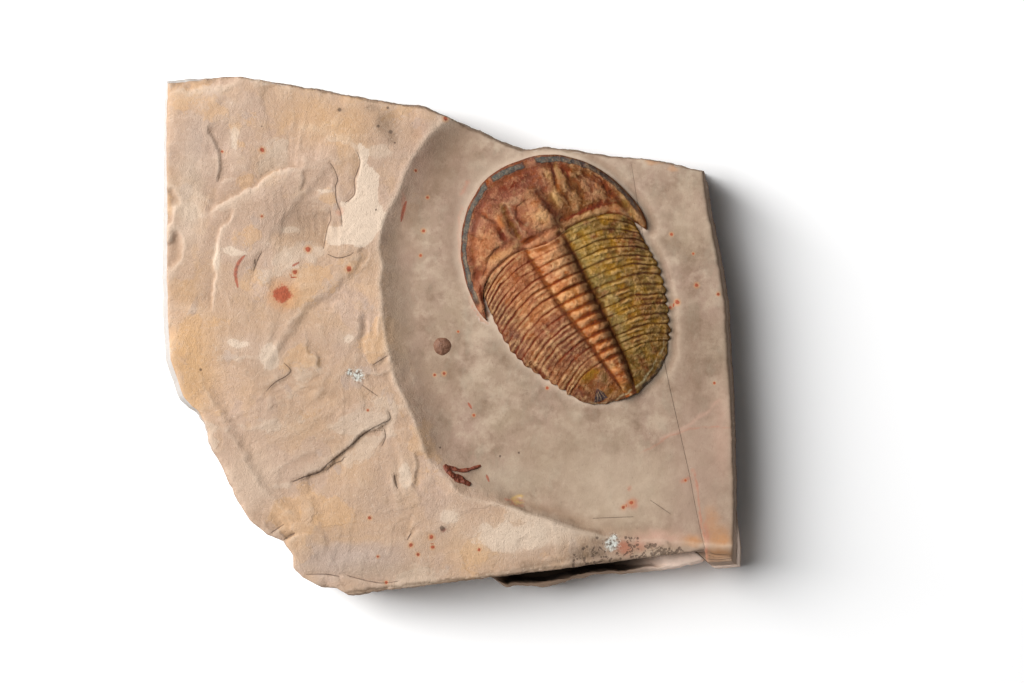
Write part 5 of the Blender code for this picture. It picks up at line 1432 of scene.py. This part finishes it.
BODY_SPOTS = [
    ("blush", -4, -30, 18, 20, 0.8), ("rose", -12, -12, 8, 10, 0.4), ("crest", -2, -20, 11, 20, 0.6),
    ("orange", 4, 40, 10, 60, 0.35), ("bark", 60, -30, 20, 12, 0.35), ("orange", 64, 24, 8, 30, 0.4),
    ("rose", -50, -18, 30, 20, 0.6), ("peach", -44, 6, 20, 16, 0.5), ("plum", -34, -26, 12, 10, 0.5),
    ("plum", -28, 60, 20, 22, 0.9), ("rose", -40, 34, 24, 14, 0.6), ("plum", -74, 26, 11, 34, 0.7),
    ("mauve", -78, 20, 10, 38, 0.6), ("bark", -80, 30, 7, 40, 0.35), ("blush", -52, 12, 22, 12, 0.6),
    ("amber", -50, 60, 14, 14, 0.5), ("sage", 29, -12, 15, 50, 0.85), ("sage", 28, 50, 12, 34, 0.7),
    ("sage", 54, 8, 8, 24, 0.4), ("bark", 66, 10, 14, 70, 0.3), ("olive", 72, 44, 12, 50, 0.6),
    ("bark", 76, 24, 8, 60, 0.5), ("orange", 64, -12, 9, 9, 0.5), ("gold", 45, 14, 4.5, 36, 0.7),
    ("gold", 42, 66, 10, 24, 0.4), ("olive", 40, 98, 20, 14, 0.5), ("hazel", -34, 96, 17, 15, 0.85),
    ("orange", -30, 98, 9, 8, 0.4), ("gold", -22, 92, 12, 5, 0.95), ("gold", 0, 117, 24, 8, 0.5),
    ("orange", 6, 112, 13, 7, 0.7), ("orange", 6, 98, 8, 13, 0.8), ("peach", 3, 95, 4, 7, 0.6),
    ("red", 8, 93, 3, 5, 0.5), ("red", 2, 104, 4, 3, 0.5), ("red", -4, 99, 2, 9, 0.7),
    ("olive", -9, 101, 3.5, 7, 0.7), ("rose", -38, 104, 5, 6, 0.8), ("pale", -38, 104, 2, 3, 0.4),
    ("bark", 24, 108, 10, 10, 0.4), ("red", 13, 102, 2.2, 14, 0.8), ("red", 4, 106, 5, 2, 0.5),
    ("crest", 2, 94, 4, 3, 0.6)]
BODY_STROKES = [
    # The first two strokes are painted shade: dark brown down the axis's right flank and in the furrow on its
    # left.
    ("bark", [(17, -30), (14, 0), (15, 50), (17, 108)], 4, 0.7),
    ("bark", [(-24, -8), (-21, 14), (-17.5, 35), (-11, 70), (-5, 92)], 3.4, 0.55),
    ("cream", [(-50, 98), (-42, 110), (-29, 120), (-10, 126), (8, 125.5)], 1.1, 0.85),
    ("cream", [(8, 125), (25, 121), (35, 114), (45, 107), (57, 98), (61, 89)], 1.1, 0.9),
    ("slate", [(12, 127.5), (30, 123.5), (43, 116.5), (56, 107)], 2.2, 0.9),
    ("furrow", [(-45, 108), (-30, 123), (-10, 129), (12, 129)], 1.4, 0.7),
    ("orange", [(-46, 92), (-36, 98), (-33, 106), (-36, 111)], 1, 0.7),
    ("furrow", [(76, 76), (66, 88), (62, 98)], 1.4, 0.7)]
# Tints mottled over the shell's parts: colour, size in steps, seed, threshold, strength.
HEAD_TINTS = [("rose", 14, 231, 0.25, 0.4), ("orange", 6, 233, 0.45, 0.35), ("plum", 9, 235, 0.35, 0.4),
              ("crest", 5, 237, 0.4, 0.3), ("bark", 7, 239, 0.45, 0.4)]
LEFT_TINTS = [("rose", 14, 241, 0.1, 0.6), ("orange", 8, 243, 0.4, 0.5), ("plum", 16, 245, 0.2, 0.7),
              ("crest", 6, 247, 0.35, 0.5)]
RIGHT_TINTS = [
    ("olive", 13, 251, 0.2, 0.5), ("sage", 7, 252, 0.2, 0.5), ("gold", 9, 253, 0.45, 0.4),
    ("bark", 10, 255, 0.25, 0.6), ("straw", 5, 257, 0.45, 0.4), ("red", 8, 259, 0.4, 0.5)]
AXIS_TINTS = [("orange", 5, 261, 0.05, 0.8), ("red", 6, 263, 0.45, 0.5), ("crest", 4, 265, 0.3, 0.6)]
# The dark chip on the tail and the pale scratches across it.
CHIP = [(-20.5, 107.5), (-24, 112), (-29.5, 120), (-22, 121.5), (-14.5, 121), (-16, 114)]
CHIP_RAYS = [("pale", [(-22.5, 112), (-26.5, 119.5)], 0.45, 0.6),
             ("pale", [(-20.5, 111), (-21.5, 120)], 0.45, 0.6),
             ("pale", [(-19, 112), (-17, 119.5)], 0.45, 0.5)]


def painted(x, y, base, spots, strokes, look, scale=9.0):
    """Colours of places: the base, each spot laid over it as exp(-distance^3) with a wandering edge,
    and each stroke as exp(-distance^2) across its line. Without a look they are laid as white, which
    gives their share."""
    place = plan(x, y)
    warp_x = x + 0.2 * scale * rough(place, scale, 3, 201)
    warp_y = y + 0.2 * scale * rough(place, scale, 3, 203)
    colour = base.copy()

    def lay(name, share):
        tint = np.ones(3) if look is None else np.array(getattr(look, name))
        colour[...] += (tint - colour) * np.clip(share, 0.0, 1.0)[..., None]

    for name, middle_x, middle_y, reach_x, reach_y, strength in spots:
        away = np.hypot((warp_x - middle_x) / reach_x, (warp_y - middle_y) / reach_y)
        lay(name, strength * np.exp(-away ** 3))
    near_x, near_y = x * 0.3 + warp_x * 0.7, y * 0.3 + warp_y * 0.7
    for name, points, half_width, strength in strokes:
        across, beyond, _ = from_curve(near_x, near_y, spline(points, scale / 4.5), half_width * 4.0)
        width = half_width * (0.8 + 0.4 * noise(place, scale * 0.5, 207))
        lay(name, strength * bell(np.hypot(across, beyond) / width, 1.0))
    return np.clip(colour, 0.004, 1.0)


def mixed(first, second, share):
    """Two colours mixed by an array of shares."""
    first, second = np.array(first), np.array(second)
    return first + (second - first) * share[..., None]


def mottled(colour, place, tints, look):
    """Colours with blotches of several tints, each (colour, size in steps, seed, threshold, strength)."""
    for name, size, seed, level, strength in tints:
        share = np.clip(1.6 * (rough(place, size, 3, seed) - level), 0.0, 1.0) * strength
        colour = mixed(colour, getattr(look, name), share)
    return colour


def band_mask(t, s):
    """The grey band inside the head's rim: a strip at a steady distance from the margin, with gaps."""
    place = plan(t, s)
    distance = from_margin(t, s) + 0.7 * rough(place, 5.0, 3, 163)
    inner = 1.2 + 1.6 * bell(t, 40.0)
    wide = 6.0 + 2.6 * bell(t, 40.0) - 1.2 * smooth(40.0, 80.0, t)
    strip = smooth(inner - 0.5, inner + 0.5, distance) * smooth(wide + 0.6, wide - 0.6, distance)
    gaps = smooth(-36.0, -34.0, t) * smooth(-26.0, -28.0, t) + smooth(6.0, 9.0, t) * smooth(22.0, 19.0, t)
    ends = smooth(-16.0, -26.0, s) * (t < 0) + smooth(-30.0, -44.0, s) * (t >= 0)
    return strip * np.clip(1.0 - gaps * (s < -90), 0.0, 1.0) * ends


def head_fields(t, s, grid, look):
    """What the shell's finish reads on the head: the colours over a base that turns from pink to
    hazel, with a rim that is plum on the left and painted shade on the right, and the grey band
    inside it, which darkens to painted shade on the right."""
    base = mixed(look.pink, look.hazel, smooth(-14.0, 42.0, t))
    place = plan(t, s)
    base = mixed(base, look.plum, 0.45 * smooth(-85.0, -120.0, s + 6.0 * noise(place, 12.0, 221)))
    colour = mottled(painted(t, s, base, HEAD_SPOTS, HEAD_STROKES, look), place, HEAD_TINTS, look)
    rim = smooth(2.0, 0.5, from_margin(t, s)) * smooth(-20.0, -30.0, s)
    colour = mixed(colour, look.plum, rim * smooth(50.0, 0.0, t) * 0.7)
    # Painted shade: the rim goes dark brown on the right, away from the light.
    colour = mixed(colour, look.bark, rim * smooth(10.0, 60.0, t) * 0.8)
    grey = band_mask(t, s)
    colour = colour * (1.06 - 0.17 * smooth(30.0, 10.0, t))[..., None]
    # Painted shade: the grey band darkens towards the deep furrow colour on the right.
    colour = mixed(colour, mixed(look.slate, look.furrow, 0.7 * smooth(30.0, 75.0, t)), grey)
    return {"grey": grey, "hollow": hollowness(grid, (4, 12)), "paint": colour}


def body_fields(rows, side, t, s, grid, look):
    """What the shell's finish reads on the thorax and the tail shield: spots and strokes over a base
    that turns from amber to umber across the axis, with furrows drawn between the segments, painted
    shade down the axis's right flank and painted highlights on the ribs' crests."""
    phase = rows % 1.0
    place = plan(t, s)
    sway = noise(place, 3.0, 211)
    wing = np.maximum(np.abs(side) - 1.0, 0.0)
    seam = np.minimum(phase, 1.0 - phase) + 0.03 * sway
    second = np.abs(phase - 0.4 - 0.2 * wing) + 0.03 * sway
    left, right = smooth(-0.9, -1.05, side), smooth(0.9, 1.05, side)
    middle = 1.0 - left - right
    base = mixed(look.amber, look.umber, right)
    base = mixed(base, look.peach, middle * 0.85)
    base = mixed(base, look.blush, middle * 0.85 * smooth(20.0, -20.0, s))
    base = mixed(base, look.amber, middle * 0.6 * smooth(10.0, 50.0, s))
    colour = painted(t, s, base, BODY_SPOTS, BODY_STROKES, look)
    clear = smooth(-45.0, 0.0, s + 30.0 * np.abs(side))
    for part, tints in ((left, LEFT_TINTS), (right, RIGHT_TINTS), (middle, AXIS_TINTS)):
        colour = mixed(colour, mottled(colour, place, tints, look), part * clear)
    thorax = smooth(13.2, 12.9, rows)
    colour = mixed(colour, look.blush, left * 0.45 * smooth(40.0, -20.0, s) * smooth(-74.0, -56.0, t))
    colour = mixed(colour, look.bark, left * (0.3 * smooth(-62.0, -76.0, t) + 0.25 * smooth(84.0, 96.0, s)))
    low = 0.25 + 0.75 * smooth(-25.0, 15.0, s)
    wide = 0.15 + 0.05 * sway + 0.07 * smooth(0.0, 40.0, s)
    drawn = np.clip(0.7 + 0.8 * noise(place * np.array([0.5, 1.0]), 7.0, 213), 0.15, 1.0)
    drawn = drawn * (0.3 + 0.7 * thorax)
    colour = mixed(colour, look.orange, middle * bell(seam, wide) * 0.8 * thorax * low)
    colour = mixed(colour, look.red, middle * bell(seam, 0.08) * (0.6 + 0.3 * sway) * thorax)
    # Painted shade down the axis's right flank, which faces away from the light: orange, then dark brown.
    colour = mixed(colour, look.orange, middle * smooth(0.2, 0.8, side + 0.3 * sway) * 0.7 * low)
    colour = mixed(colour, look.bark, middle * smooth(0.1, 0.75, side + 0.12 * sway) * 0.85)
    # Painted highlights on the ribs' crests: pale on the left and straw on the right.
    crest = np.maximum(bell(phase - 0.2, 0.1), bell(phase - 0.72, 0.12)) * smooth(0.0, 0.2, wing)
    patchy = np.clip(0.5 + 1.2 * noise(place * np.array([0.6, 1.0]), 9.0, 217), 0.0, 1.0)
    colour = mixed(colour, look.crest, left * crest * patchy * 0.5 * thorax)
    colour = mixed(colour, look.straw, right * crest * patchy * 0.6 * thorax)
    colour = mixed(colour, look.gold, right * np.clip(noise(place, 8.0, 219) - 0.1, 0.0, 1.0) * 0.6)
    # The knobs on the right get straw: partly their own light colour, partly painted highlight.
    knobs = bell(phase - 0.3, 0.2) * bell(t - 44.0 - 2.0 * sway, 4.5)
    colour = mixed(colour, look.straw, right * knobs * smooth(-20.0, 0.0, s) * smooth(95.0, 80.0, s) * 0.9)
    colour = mixed(colour, look.bark, (1.0 - middle * 0.5) * 0.22 * smooth(20.0, 90.0, s))
    line = np.maximum(bell(seam, 0.085), (0.6 - 0.3 * right) * bell(second, 0.075) * (0.4 + sway)) * drawn
    colour = mixed(colour, look.red, left * line * 0.9)
    colour = mixed(colour, look.bark, right * line * (0.65 + 0.3 * smooth(0.5, 0.8, wing)))
    colour = mixed(colour, look.chip, smooth(-0.8, 0.8, depth_inside(t, s, CHIP)))
    colour = painted(t, s, colour, [], CHIP_RAYS, look)
    return {"grey": np.zeros(t.shape), "hollow": hollowness(grid, (3, 8)), "paint": colour}


def spread_over(fields, shape, count):
    """Grid fields as flat arrays for all places. The places below the grid get 0, or for colours
    those of the grid's rim."""
    flat = {}
    rim = rim_of(*shape)
    tail = count - shape[0] * shape[1]
    for name, values in fields.items():
        if values.ndim == 3:
            values = values.reshape(-1, 3)
            flat[name] = np.vstack([values, values[np.resize(rim, tail)]])
        else:
            flat[name] = np.concatenate([values.ravel(), np.zeros(tail)])
    return flat


# ---------------------------------------------------------------- settings, operators and panel


def colour_setting(name, description, default):
    """A colour that the user may change."""
    return bpy.props.FloatVectorProperty(name=name, description=description, subtype="COLOR", size=3,
                                         min=0.0, max=1.0, default=default)


def colour_settings(table):
    """Settings from a table that gives each key its description, its screen colour and, where it isn't
    lit as the rest is, its light."""
    return {key: colour_setting(key.replace("_", " ").capitalize(), description, pigment(*screen))
            for key, (description, *screen) in table.items()}


def length_setting(name, description, default):
    """A length, given in millimetres and held in metres."""
    return bpy.props.FloatProperty(name=name, description=description, default=default * MM, min=0.0,
                                   subtype="DISTANCE", unit="LENGTH")


# Colours of the stone: what each is for, and its look on the screen from 0 to 255.
STONE_COLOURS = {
    "tan": ("Main colour of the rough face", 206, 170, 138),
    "rose": ("Pinkish parts of the rough face", 202, 172, 152),
    "cream": ("Fresh pale flakes", 226, 203, 180),
    "ochre": ("Yellowish stained parts", 216, 170, 120),
    "lilac": ("Greyish pink parts", 190, 168, 154),
    "brown": ("Shaded hollows and dirt", 160, 130, 104),
    "floor_tan": ("Ground floor of the dish", 170, 147, 123),
    "floor_rose": ("Pinkish parts of the ground floor", 177, 148, 129),
    "floor_dark": ("Darker blotches of the ground floor", 136, 110, 88),
    "floor_light": ("Lighter blotches of the ground floor", 200, 177, 153),
    "floor_grey": ("Grey green parts of the ground floor", 180, 163, 141),
    # Painted light for the shelf in front of the corner, which lies in the upper bed's shade.
    "fresh": ("Fresh break in front of the corner", 250, 224, 206, 1.0),
    "amber": ("Orange brown stains", 206, 148, 100),
    "brick": ("Red stains", 196, 118, 90),
    "blush": ("Pink stains", 206, 164, 144),
    "gold": ("Yellow fossil bits", 216, 176, 104),
    # Dark dirt, and painted shade on the right wall.
    "dirt": ("Dark dirt", 112, 90, 68),
    "rust": ("Red flecks", 178, 84, 56),
    "rust_dark": ("Darker parts of the flecks", 128, 58, 42),
    "pit": ("Dark specks and cracks", 92, 74, 62),
    "crystal": ("Sparkling grains", 225, 225, 215),
    # Painted light on the left wall, which faces the light.
    "dust": ("Pale dust on the left wall", 200, 197, 193),
    # Painted shade for the deep part of the front cleft.
    "cleft": ("Dirty depth of the front cleft", 40, 28, 16),
    "bed": ("Walls of the slab", 168, 140, 116)}


class StoneSettings(bpy.types.PropertyGroup):
    """Sizes and colours of the slab."""
    plateau: length_setting("Plateau height", "Height of the rough face above the base", 17.5)
    floor: length_setting("Floor height", "Height of the dish's ground floor above the base", 15.2)
    grain: length_setting("Grain", "Fine unevenness of the rough face", 0.05)


StoneSettings.__annotations__.update(colour_settings(STONE_COLOURS))


# Colours of the trilobite, in the same way.
FOSSIL_COLOURS = {
    "amber": ("Left side of the shell", 182, 126, 92),
    "umber": ("Right side of the shell", 140, 106, 56),
    "hazel": ("Right side of the head", 132, 88, 54),
    "orange": ("Orange furrows and patches", 170, 86, 38),
    "pink": ("Smooth cheek", 180, 120, 94),
    "blush": ("Bright part of the cheek", 196, 128, 92),
    "mauve": ("Greyish pink part of the cheek", 158, 112, 100),
    "rose": ("Dull rose patches", 158, 98, 80),
    "plum": ("Purple brown patches", 118, 66, 50),
    "peach": ("Bright crests of the axis", 228, 170, 118),
    # Light olive patches, and painted highlight on the right ribs' crests and knobs.
    "straw": ("Light olive patches", 176, 142, 88),
    "gold": ("Yellow knobs", 186, 134, 48),
    # Dark brown patches, and painted shade on the axis's right flank, in the furrows and on the right rim.
    "bark": ("Dark brown flanks", 84, 48, 20),
    "pale": ("Pale rubbed places", 218, 186, 150),
    "cream": ("Edge line of the tail", 214, 200, 160),
    "red": ("Red furrows and patches", 124, 44, 26),
    # Painted highlight on the crests, also used for pale mottling.
    "crest": ("Worn crests", 232, 188, 142),
    "furrow": ("Deep furrows", 64, 32, 18),
    "sage": ("Pale greyish green parts", 176, 152, 98),
    "olive": ("Olive parts", 108, 92, 44),
    "slate": ("Grey band of the head", 86, 88, 84),
    "slate_light": ("Light parts of the grey band", 156, 152, 138),
    "chip": ("Dark chip on the tail", 58, 44, 50)}


class FossilSettings(bpy.types.PropertyGroup):
    """Sizes and colours of the trilobite."""
    margin: length_setting("Margin height", "Height of the shell's edge above the floor", 0.42)
    pleura: length_setting("Side lobe height", "Height of the side lobes beside the axis", 1.3)
    axis: length_setting("Axis height", "Height of the axis above the side lobes", 1.4)
    segment: length_setting("Segment relief", "Height of each segment's ring and ribs", 0.36)
    tooth: length_setting("Tooth length", "How far the rear segments' tips stand out", 0.42)
    floor: length_setting("Floor height", "Height of the dish's ground floor above the base", 15.2)
    relief: bpy.props.FloatProperty(name="Relief", description="Overall height of the shell's forms",
                                    default=1.0, min=0.2, max=1.2)


FossilSettings.__annotations__.update(colour_settings(FOSSIL_COLOURS))


# Colours of the small shells, in the same way.
SMALL_SHELL_COLOURS = {
    "disc": ("Round shell", 112, 74, 54),
    "disc_second": ("Round shell's second brown", 146, 104, 80),
    "disc_dark": ("Round shell's pits", 66, 42, 32),
    "piece": ("Broken shell", 92, 42, 30),
    "piece_second": ("Broken shell's second brown", 150, 76, 46),
    "piece_dark": ("Broken shell's pits", 46, 24, 20),
    "worn": ("Worn places of both shells", 212, 160, 128)}


class SmallShellSettings(bpy.types.PropertyGroup):
    """Colours of the two small shells."""
    __annotations__ = colour_settings(SMALL_SHELL_COLOURS)


class StageSettings(bpy.types.PropertyGroup):
    """Light, floor and camera."""
    key: bpy.props.FloatProperty(name="Key light", description="Power of the large soft light", default=9.0,
                                 min=0.0, subtype="POWER", unit="POWER")
    fill: bpy.props.FloatProperty(name="Fill", description="Strength of the light from all around",
                                  default=0.09, min=0.0)
    elevation: bpy.props.FloatProperty(name="Light elevation",
                                       description="Angle of the light above the floor",
                                       default=math.radians(46.0), subtype="ANGLE", unit="ROTATION")
    azimuth: bpy.props.FloatProperty(name="Light azimuth", description="Direction that the light comes from",
                                     default=math.radians(159.0), subtype="ANGLE", unit="ROTATION")
    distance: length_setting("Light distance", "How far the light is from the slab", 620.0)
    tall: length_setting("Light height", "Size of the light up and down", 780.0)
    wide: length_setting("Light width", "Size of the light sideways", 400.0)
    floor_colour: colour_setting("Floor colour", "Colour of the floor", (0.96, 0.96, 0.96))
    camera_height: length_setting("Camera height", "Height of the camera above the floor", 617.5)
    camera_x: bpy.props.FloatProperty(name="Camera X", description="Place of the camera along the slab",
                                      default=10.2 * MM, subtype="DISTANCE", unit="LENGTH")
    camera_y: bpy.props.FloatProperty(name="Camera Y", description="Place of the camera across the slab",
                                      default=-1.6 * MM, subtype="DISTANCE", unit="LENGTH")
    lens: bpy.props.FloatProperty(name="Lens", description="Focal length of the camera in millimetres",
                                  default=124.07, min=1.0)


class TRILOBITE_OT_stone(bpy.types.Operator):
    """Make the slab's upper and lower beds"""
    bl_idname = "trilobite.stone"
    bl_label = "Stone"

    def execute(self, context):
        size = context.scene.trilobite_stone
        places, quads, fan = upper_bed(size)
        count = FACE_GRID[0] * FACE_GRID[1]
        fields = stone_fields(places, count, size)
        grid = places[:count].reshape(*FACE_GRID, 3)
        fields.update(spread_over({"hollow": hollowness(grid)}, FACE_GRID, len(places)))
        upper = make_piece("upper_bed", places, quads, fan, face_finish(size), fields, "matrix", "mudstone")
        walls = bed_finish(size)
        upper.data.materials.append(walls)
        is_wall = np.ones(len(upper.data.polygons), np.int32)
        is_wall[:(FACE_GRID[0] - 1) * (FACE_GRID[1] - 1)] = 0
        upper.data.polygons.foreach_set("material_index", is_wall)
        (places, quads, fan), fields = lower_bed()
        make_piece("lower_bed", places, quads, fan, walls, fields, "matrix", "mudstone")
        return {"FINISHED"}


class TRILOBITE_OT_fossil(bpy.types.Operator):
    """Make the trilobite's head shield and its body"""
    bl_idname = "trilobite.fossil"
    bl_label = "Trilobite"

    def execute(self, context):
        look = context.scene.trilobite_fossil
        finish = shell_finish("fossil_shell", look)
        t, s, (places, quads, fan) = head_piece(look)
        grid = places[:t.size].reshape(*t.shape, 3)
        fields = spread_over(head_fields(t, s, grid, look), t.shape, len(places))
        make_piece("trilobite_head", places, quads, fan, finish, fields, "trilobite", "fossil_shell")
        rows, side, (t, s, _), (places, quads, fan) = body_piece(look)
        grid = places[:t.size].reshape(*t.shape, 3)
        fields = spread_over(body_fields(rows, side, t, s, grid, look), t.shape, len(places))
        make_piece("trilobite_body", places, quads, fan, finish, fields, "trilobite", "fossil_shell")
        return {"FINISHED"}


class TRILOBITE_OT_small_shells(bpy.types.Operator):
    """Make the round shell and the broken shell beside the trilobite"""
    bl_idname = "trilobite.small_shells"
    bl_label = "Small shells"

    def execute(self, context):
        stone, look = context.scene.trilobite_stone, context.scene.trilobite_small
        brown = small_shell_finish("brown_shell", look.disc, look.disc_second, look.disc_dark, look.worn)
        make_piece("round_shell_dome", *round_shell(stone), brown, {}, "round_shell", "brown_shell")
        dark = small_shell_finish("dark_shell", look.piece, look.piece_second, look.piece_dark, look.worn)
        for number, (points, half_width, height) in enumerate(FRAGMENT_ARMS):
            arm = shell_arm(points, half_width, height, 171 + number * 7, stone)
            make_piece(f"shell_fragment_arm_{number + 1}", *arm, dark, {}, "shell_fragment", "dark_shell")
        return {"FINISHED"}


FLOOR_HALF = 3.0          # half the floor's side, in metres
FLOOR_GAP = 0.02 * MM     # how far the floor lies below the stone
SENSOR_WIDTH = 36.0       # width of the camera's sensor, in millimetres


class TRILOBITE_OT_stage(bpy.types.Operator):
    """Make the floor, the light and the camera"""
    bl_idname = "trilobite.stage"
    bl_label = "Stage"

    def execute(self, context):
        scene, look = context.scene, context.scene.trilobite_stage
        mesh = bpy.data.meshes.new("floor")
        corners = [(x * FLOOR_HALF, y * FLOOR_HALF, 0.0) for x, y in ((-1, -1), (1, -1), (1, 1), (-1, 1))]
        mesh.from_pydata(corners, [], [(0, 1, 2, 3)])
        mesh.materials.append(pale_floor_finish(look.floor_colour))
        floor = bpy.data.objects.new("floor", mesh)
        floor.location.z = -FLOOR_GAP
        scene.collection.objects.link(floor)
        light = bpy.data.lights.new("key", "AREA")
        light.shape = "RECTANGLE"
        light.size, light.size_y, light.energy = look.wide, look.tall, look.key
        lamp = bpy.data.objects.new("key", light)
        level = math.cos(look.elevation) * look.distance
        lamp.location = (level * math.cos(look.azimuth), level * math.sin(look.azimuth),
                         math.sin(look.elevation) * look.distance)
        lamp.rotation_euler = (-lamp.location).to_track_quat("-Z", "Y").to_euler()
        lamp.visible_camera = False
        scene.collection.objects.link(lamp)
        world = bpy.data.worlds.new("fill")
        world.use_nodes = True
        sky = world.node_tree.nodes["Background"].inputs
        sky["Color"].default_value = (1.0, 1.0, 1.0, 1.0)
        sky["Strength"].default_value = look.fill
        scene.world = world
        scene.view_settings.view_transform = "Standard"
        camera = bpy.data.cameras.new("camera")
        camera.lens, camera.sensor_width, camera.clip_start = look.lens, SENSOR_WIDTH, 0.01
        eye = bpy.data.objects.new("camera", camera)
        shift = frame_shift()
        eye.location = (look.camera_x + shift[0] * MM, look.camera_y + shift[1] * MM, look.camera_height)
        scene.collection.objects.link(eye)
        scene.camera = eye
        return {"FINISHED"}


class TRILOBITE_PT_panel(bpy.types.Panel):
    """The sidebar's list of pieces and settings"""
    bl_idname = "TRILOBITE_PT_panel"
    bl_label = "Trilobite"
    bl_space_type = "VIEW_3D"
    bl_region_type = "UI"
    bl_category = "Trilobite"

    def draw(self, context):
        for operator in OPERATORS:
            self.layout.operator(operator.bl_idname)
        for name in SETTINGS:
            box = self.layout.box()
            group = getattr(context.scene, name)
            for key in group.bl_rna.properties.keys():
                if key not in ("rna_type", "name"):
                    box.prop(group, key)


SETTINGS = {"trilobite_stone": StoneSettings, "trilobite_fossil": FossilSettings,
            "trilobite_small": SmallShellSettings, "trilobite_stage": StageSettings}
OPERATORS = [TRILOBITE_OT_stone, TRILOBITE_OT_fossil, TRILOBITE_OT_small_shells, TRILOBITE_OT_stage]


def register():
    """Add the settings, the operators and the panel."""
    for kind in [*SETTINGS.values(), *OPERATORS, TRILOBITE_PT_panel]:
        bpy.utils.register_class(kind)
    for name, kind in SETTINGS.items():
        setattr(bpy.types.Scene, name, bpy.props.PointerProperty(type=kind))


def unregister():
    """Take them away again."""
    for name in SETTINGS:
        delattr(bpy.types.Scene, name)
    for kind in [TRILOBITE_PT_panel, *reversed(OPERATORS), *reversed(list(SETTINGS.values()))]:
        bpy.utils.unregister_class(kind)


def main():
    """Build everything."""
    register()
    bpy.ops.trilobite.stone()
    bpy.ops.trilobite.fossil()
    bpy.ops.trilobite.small_shells()
    bpy.ops.trilobite.stage()
    bpy.context.view_layer.update()


if __name__ == "__main__":
    main()
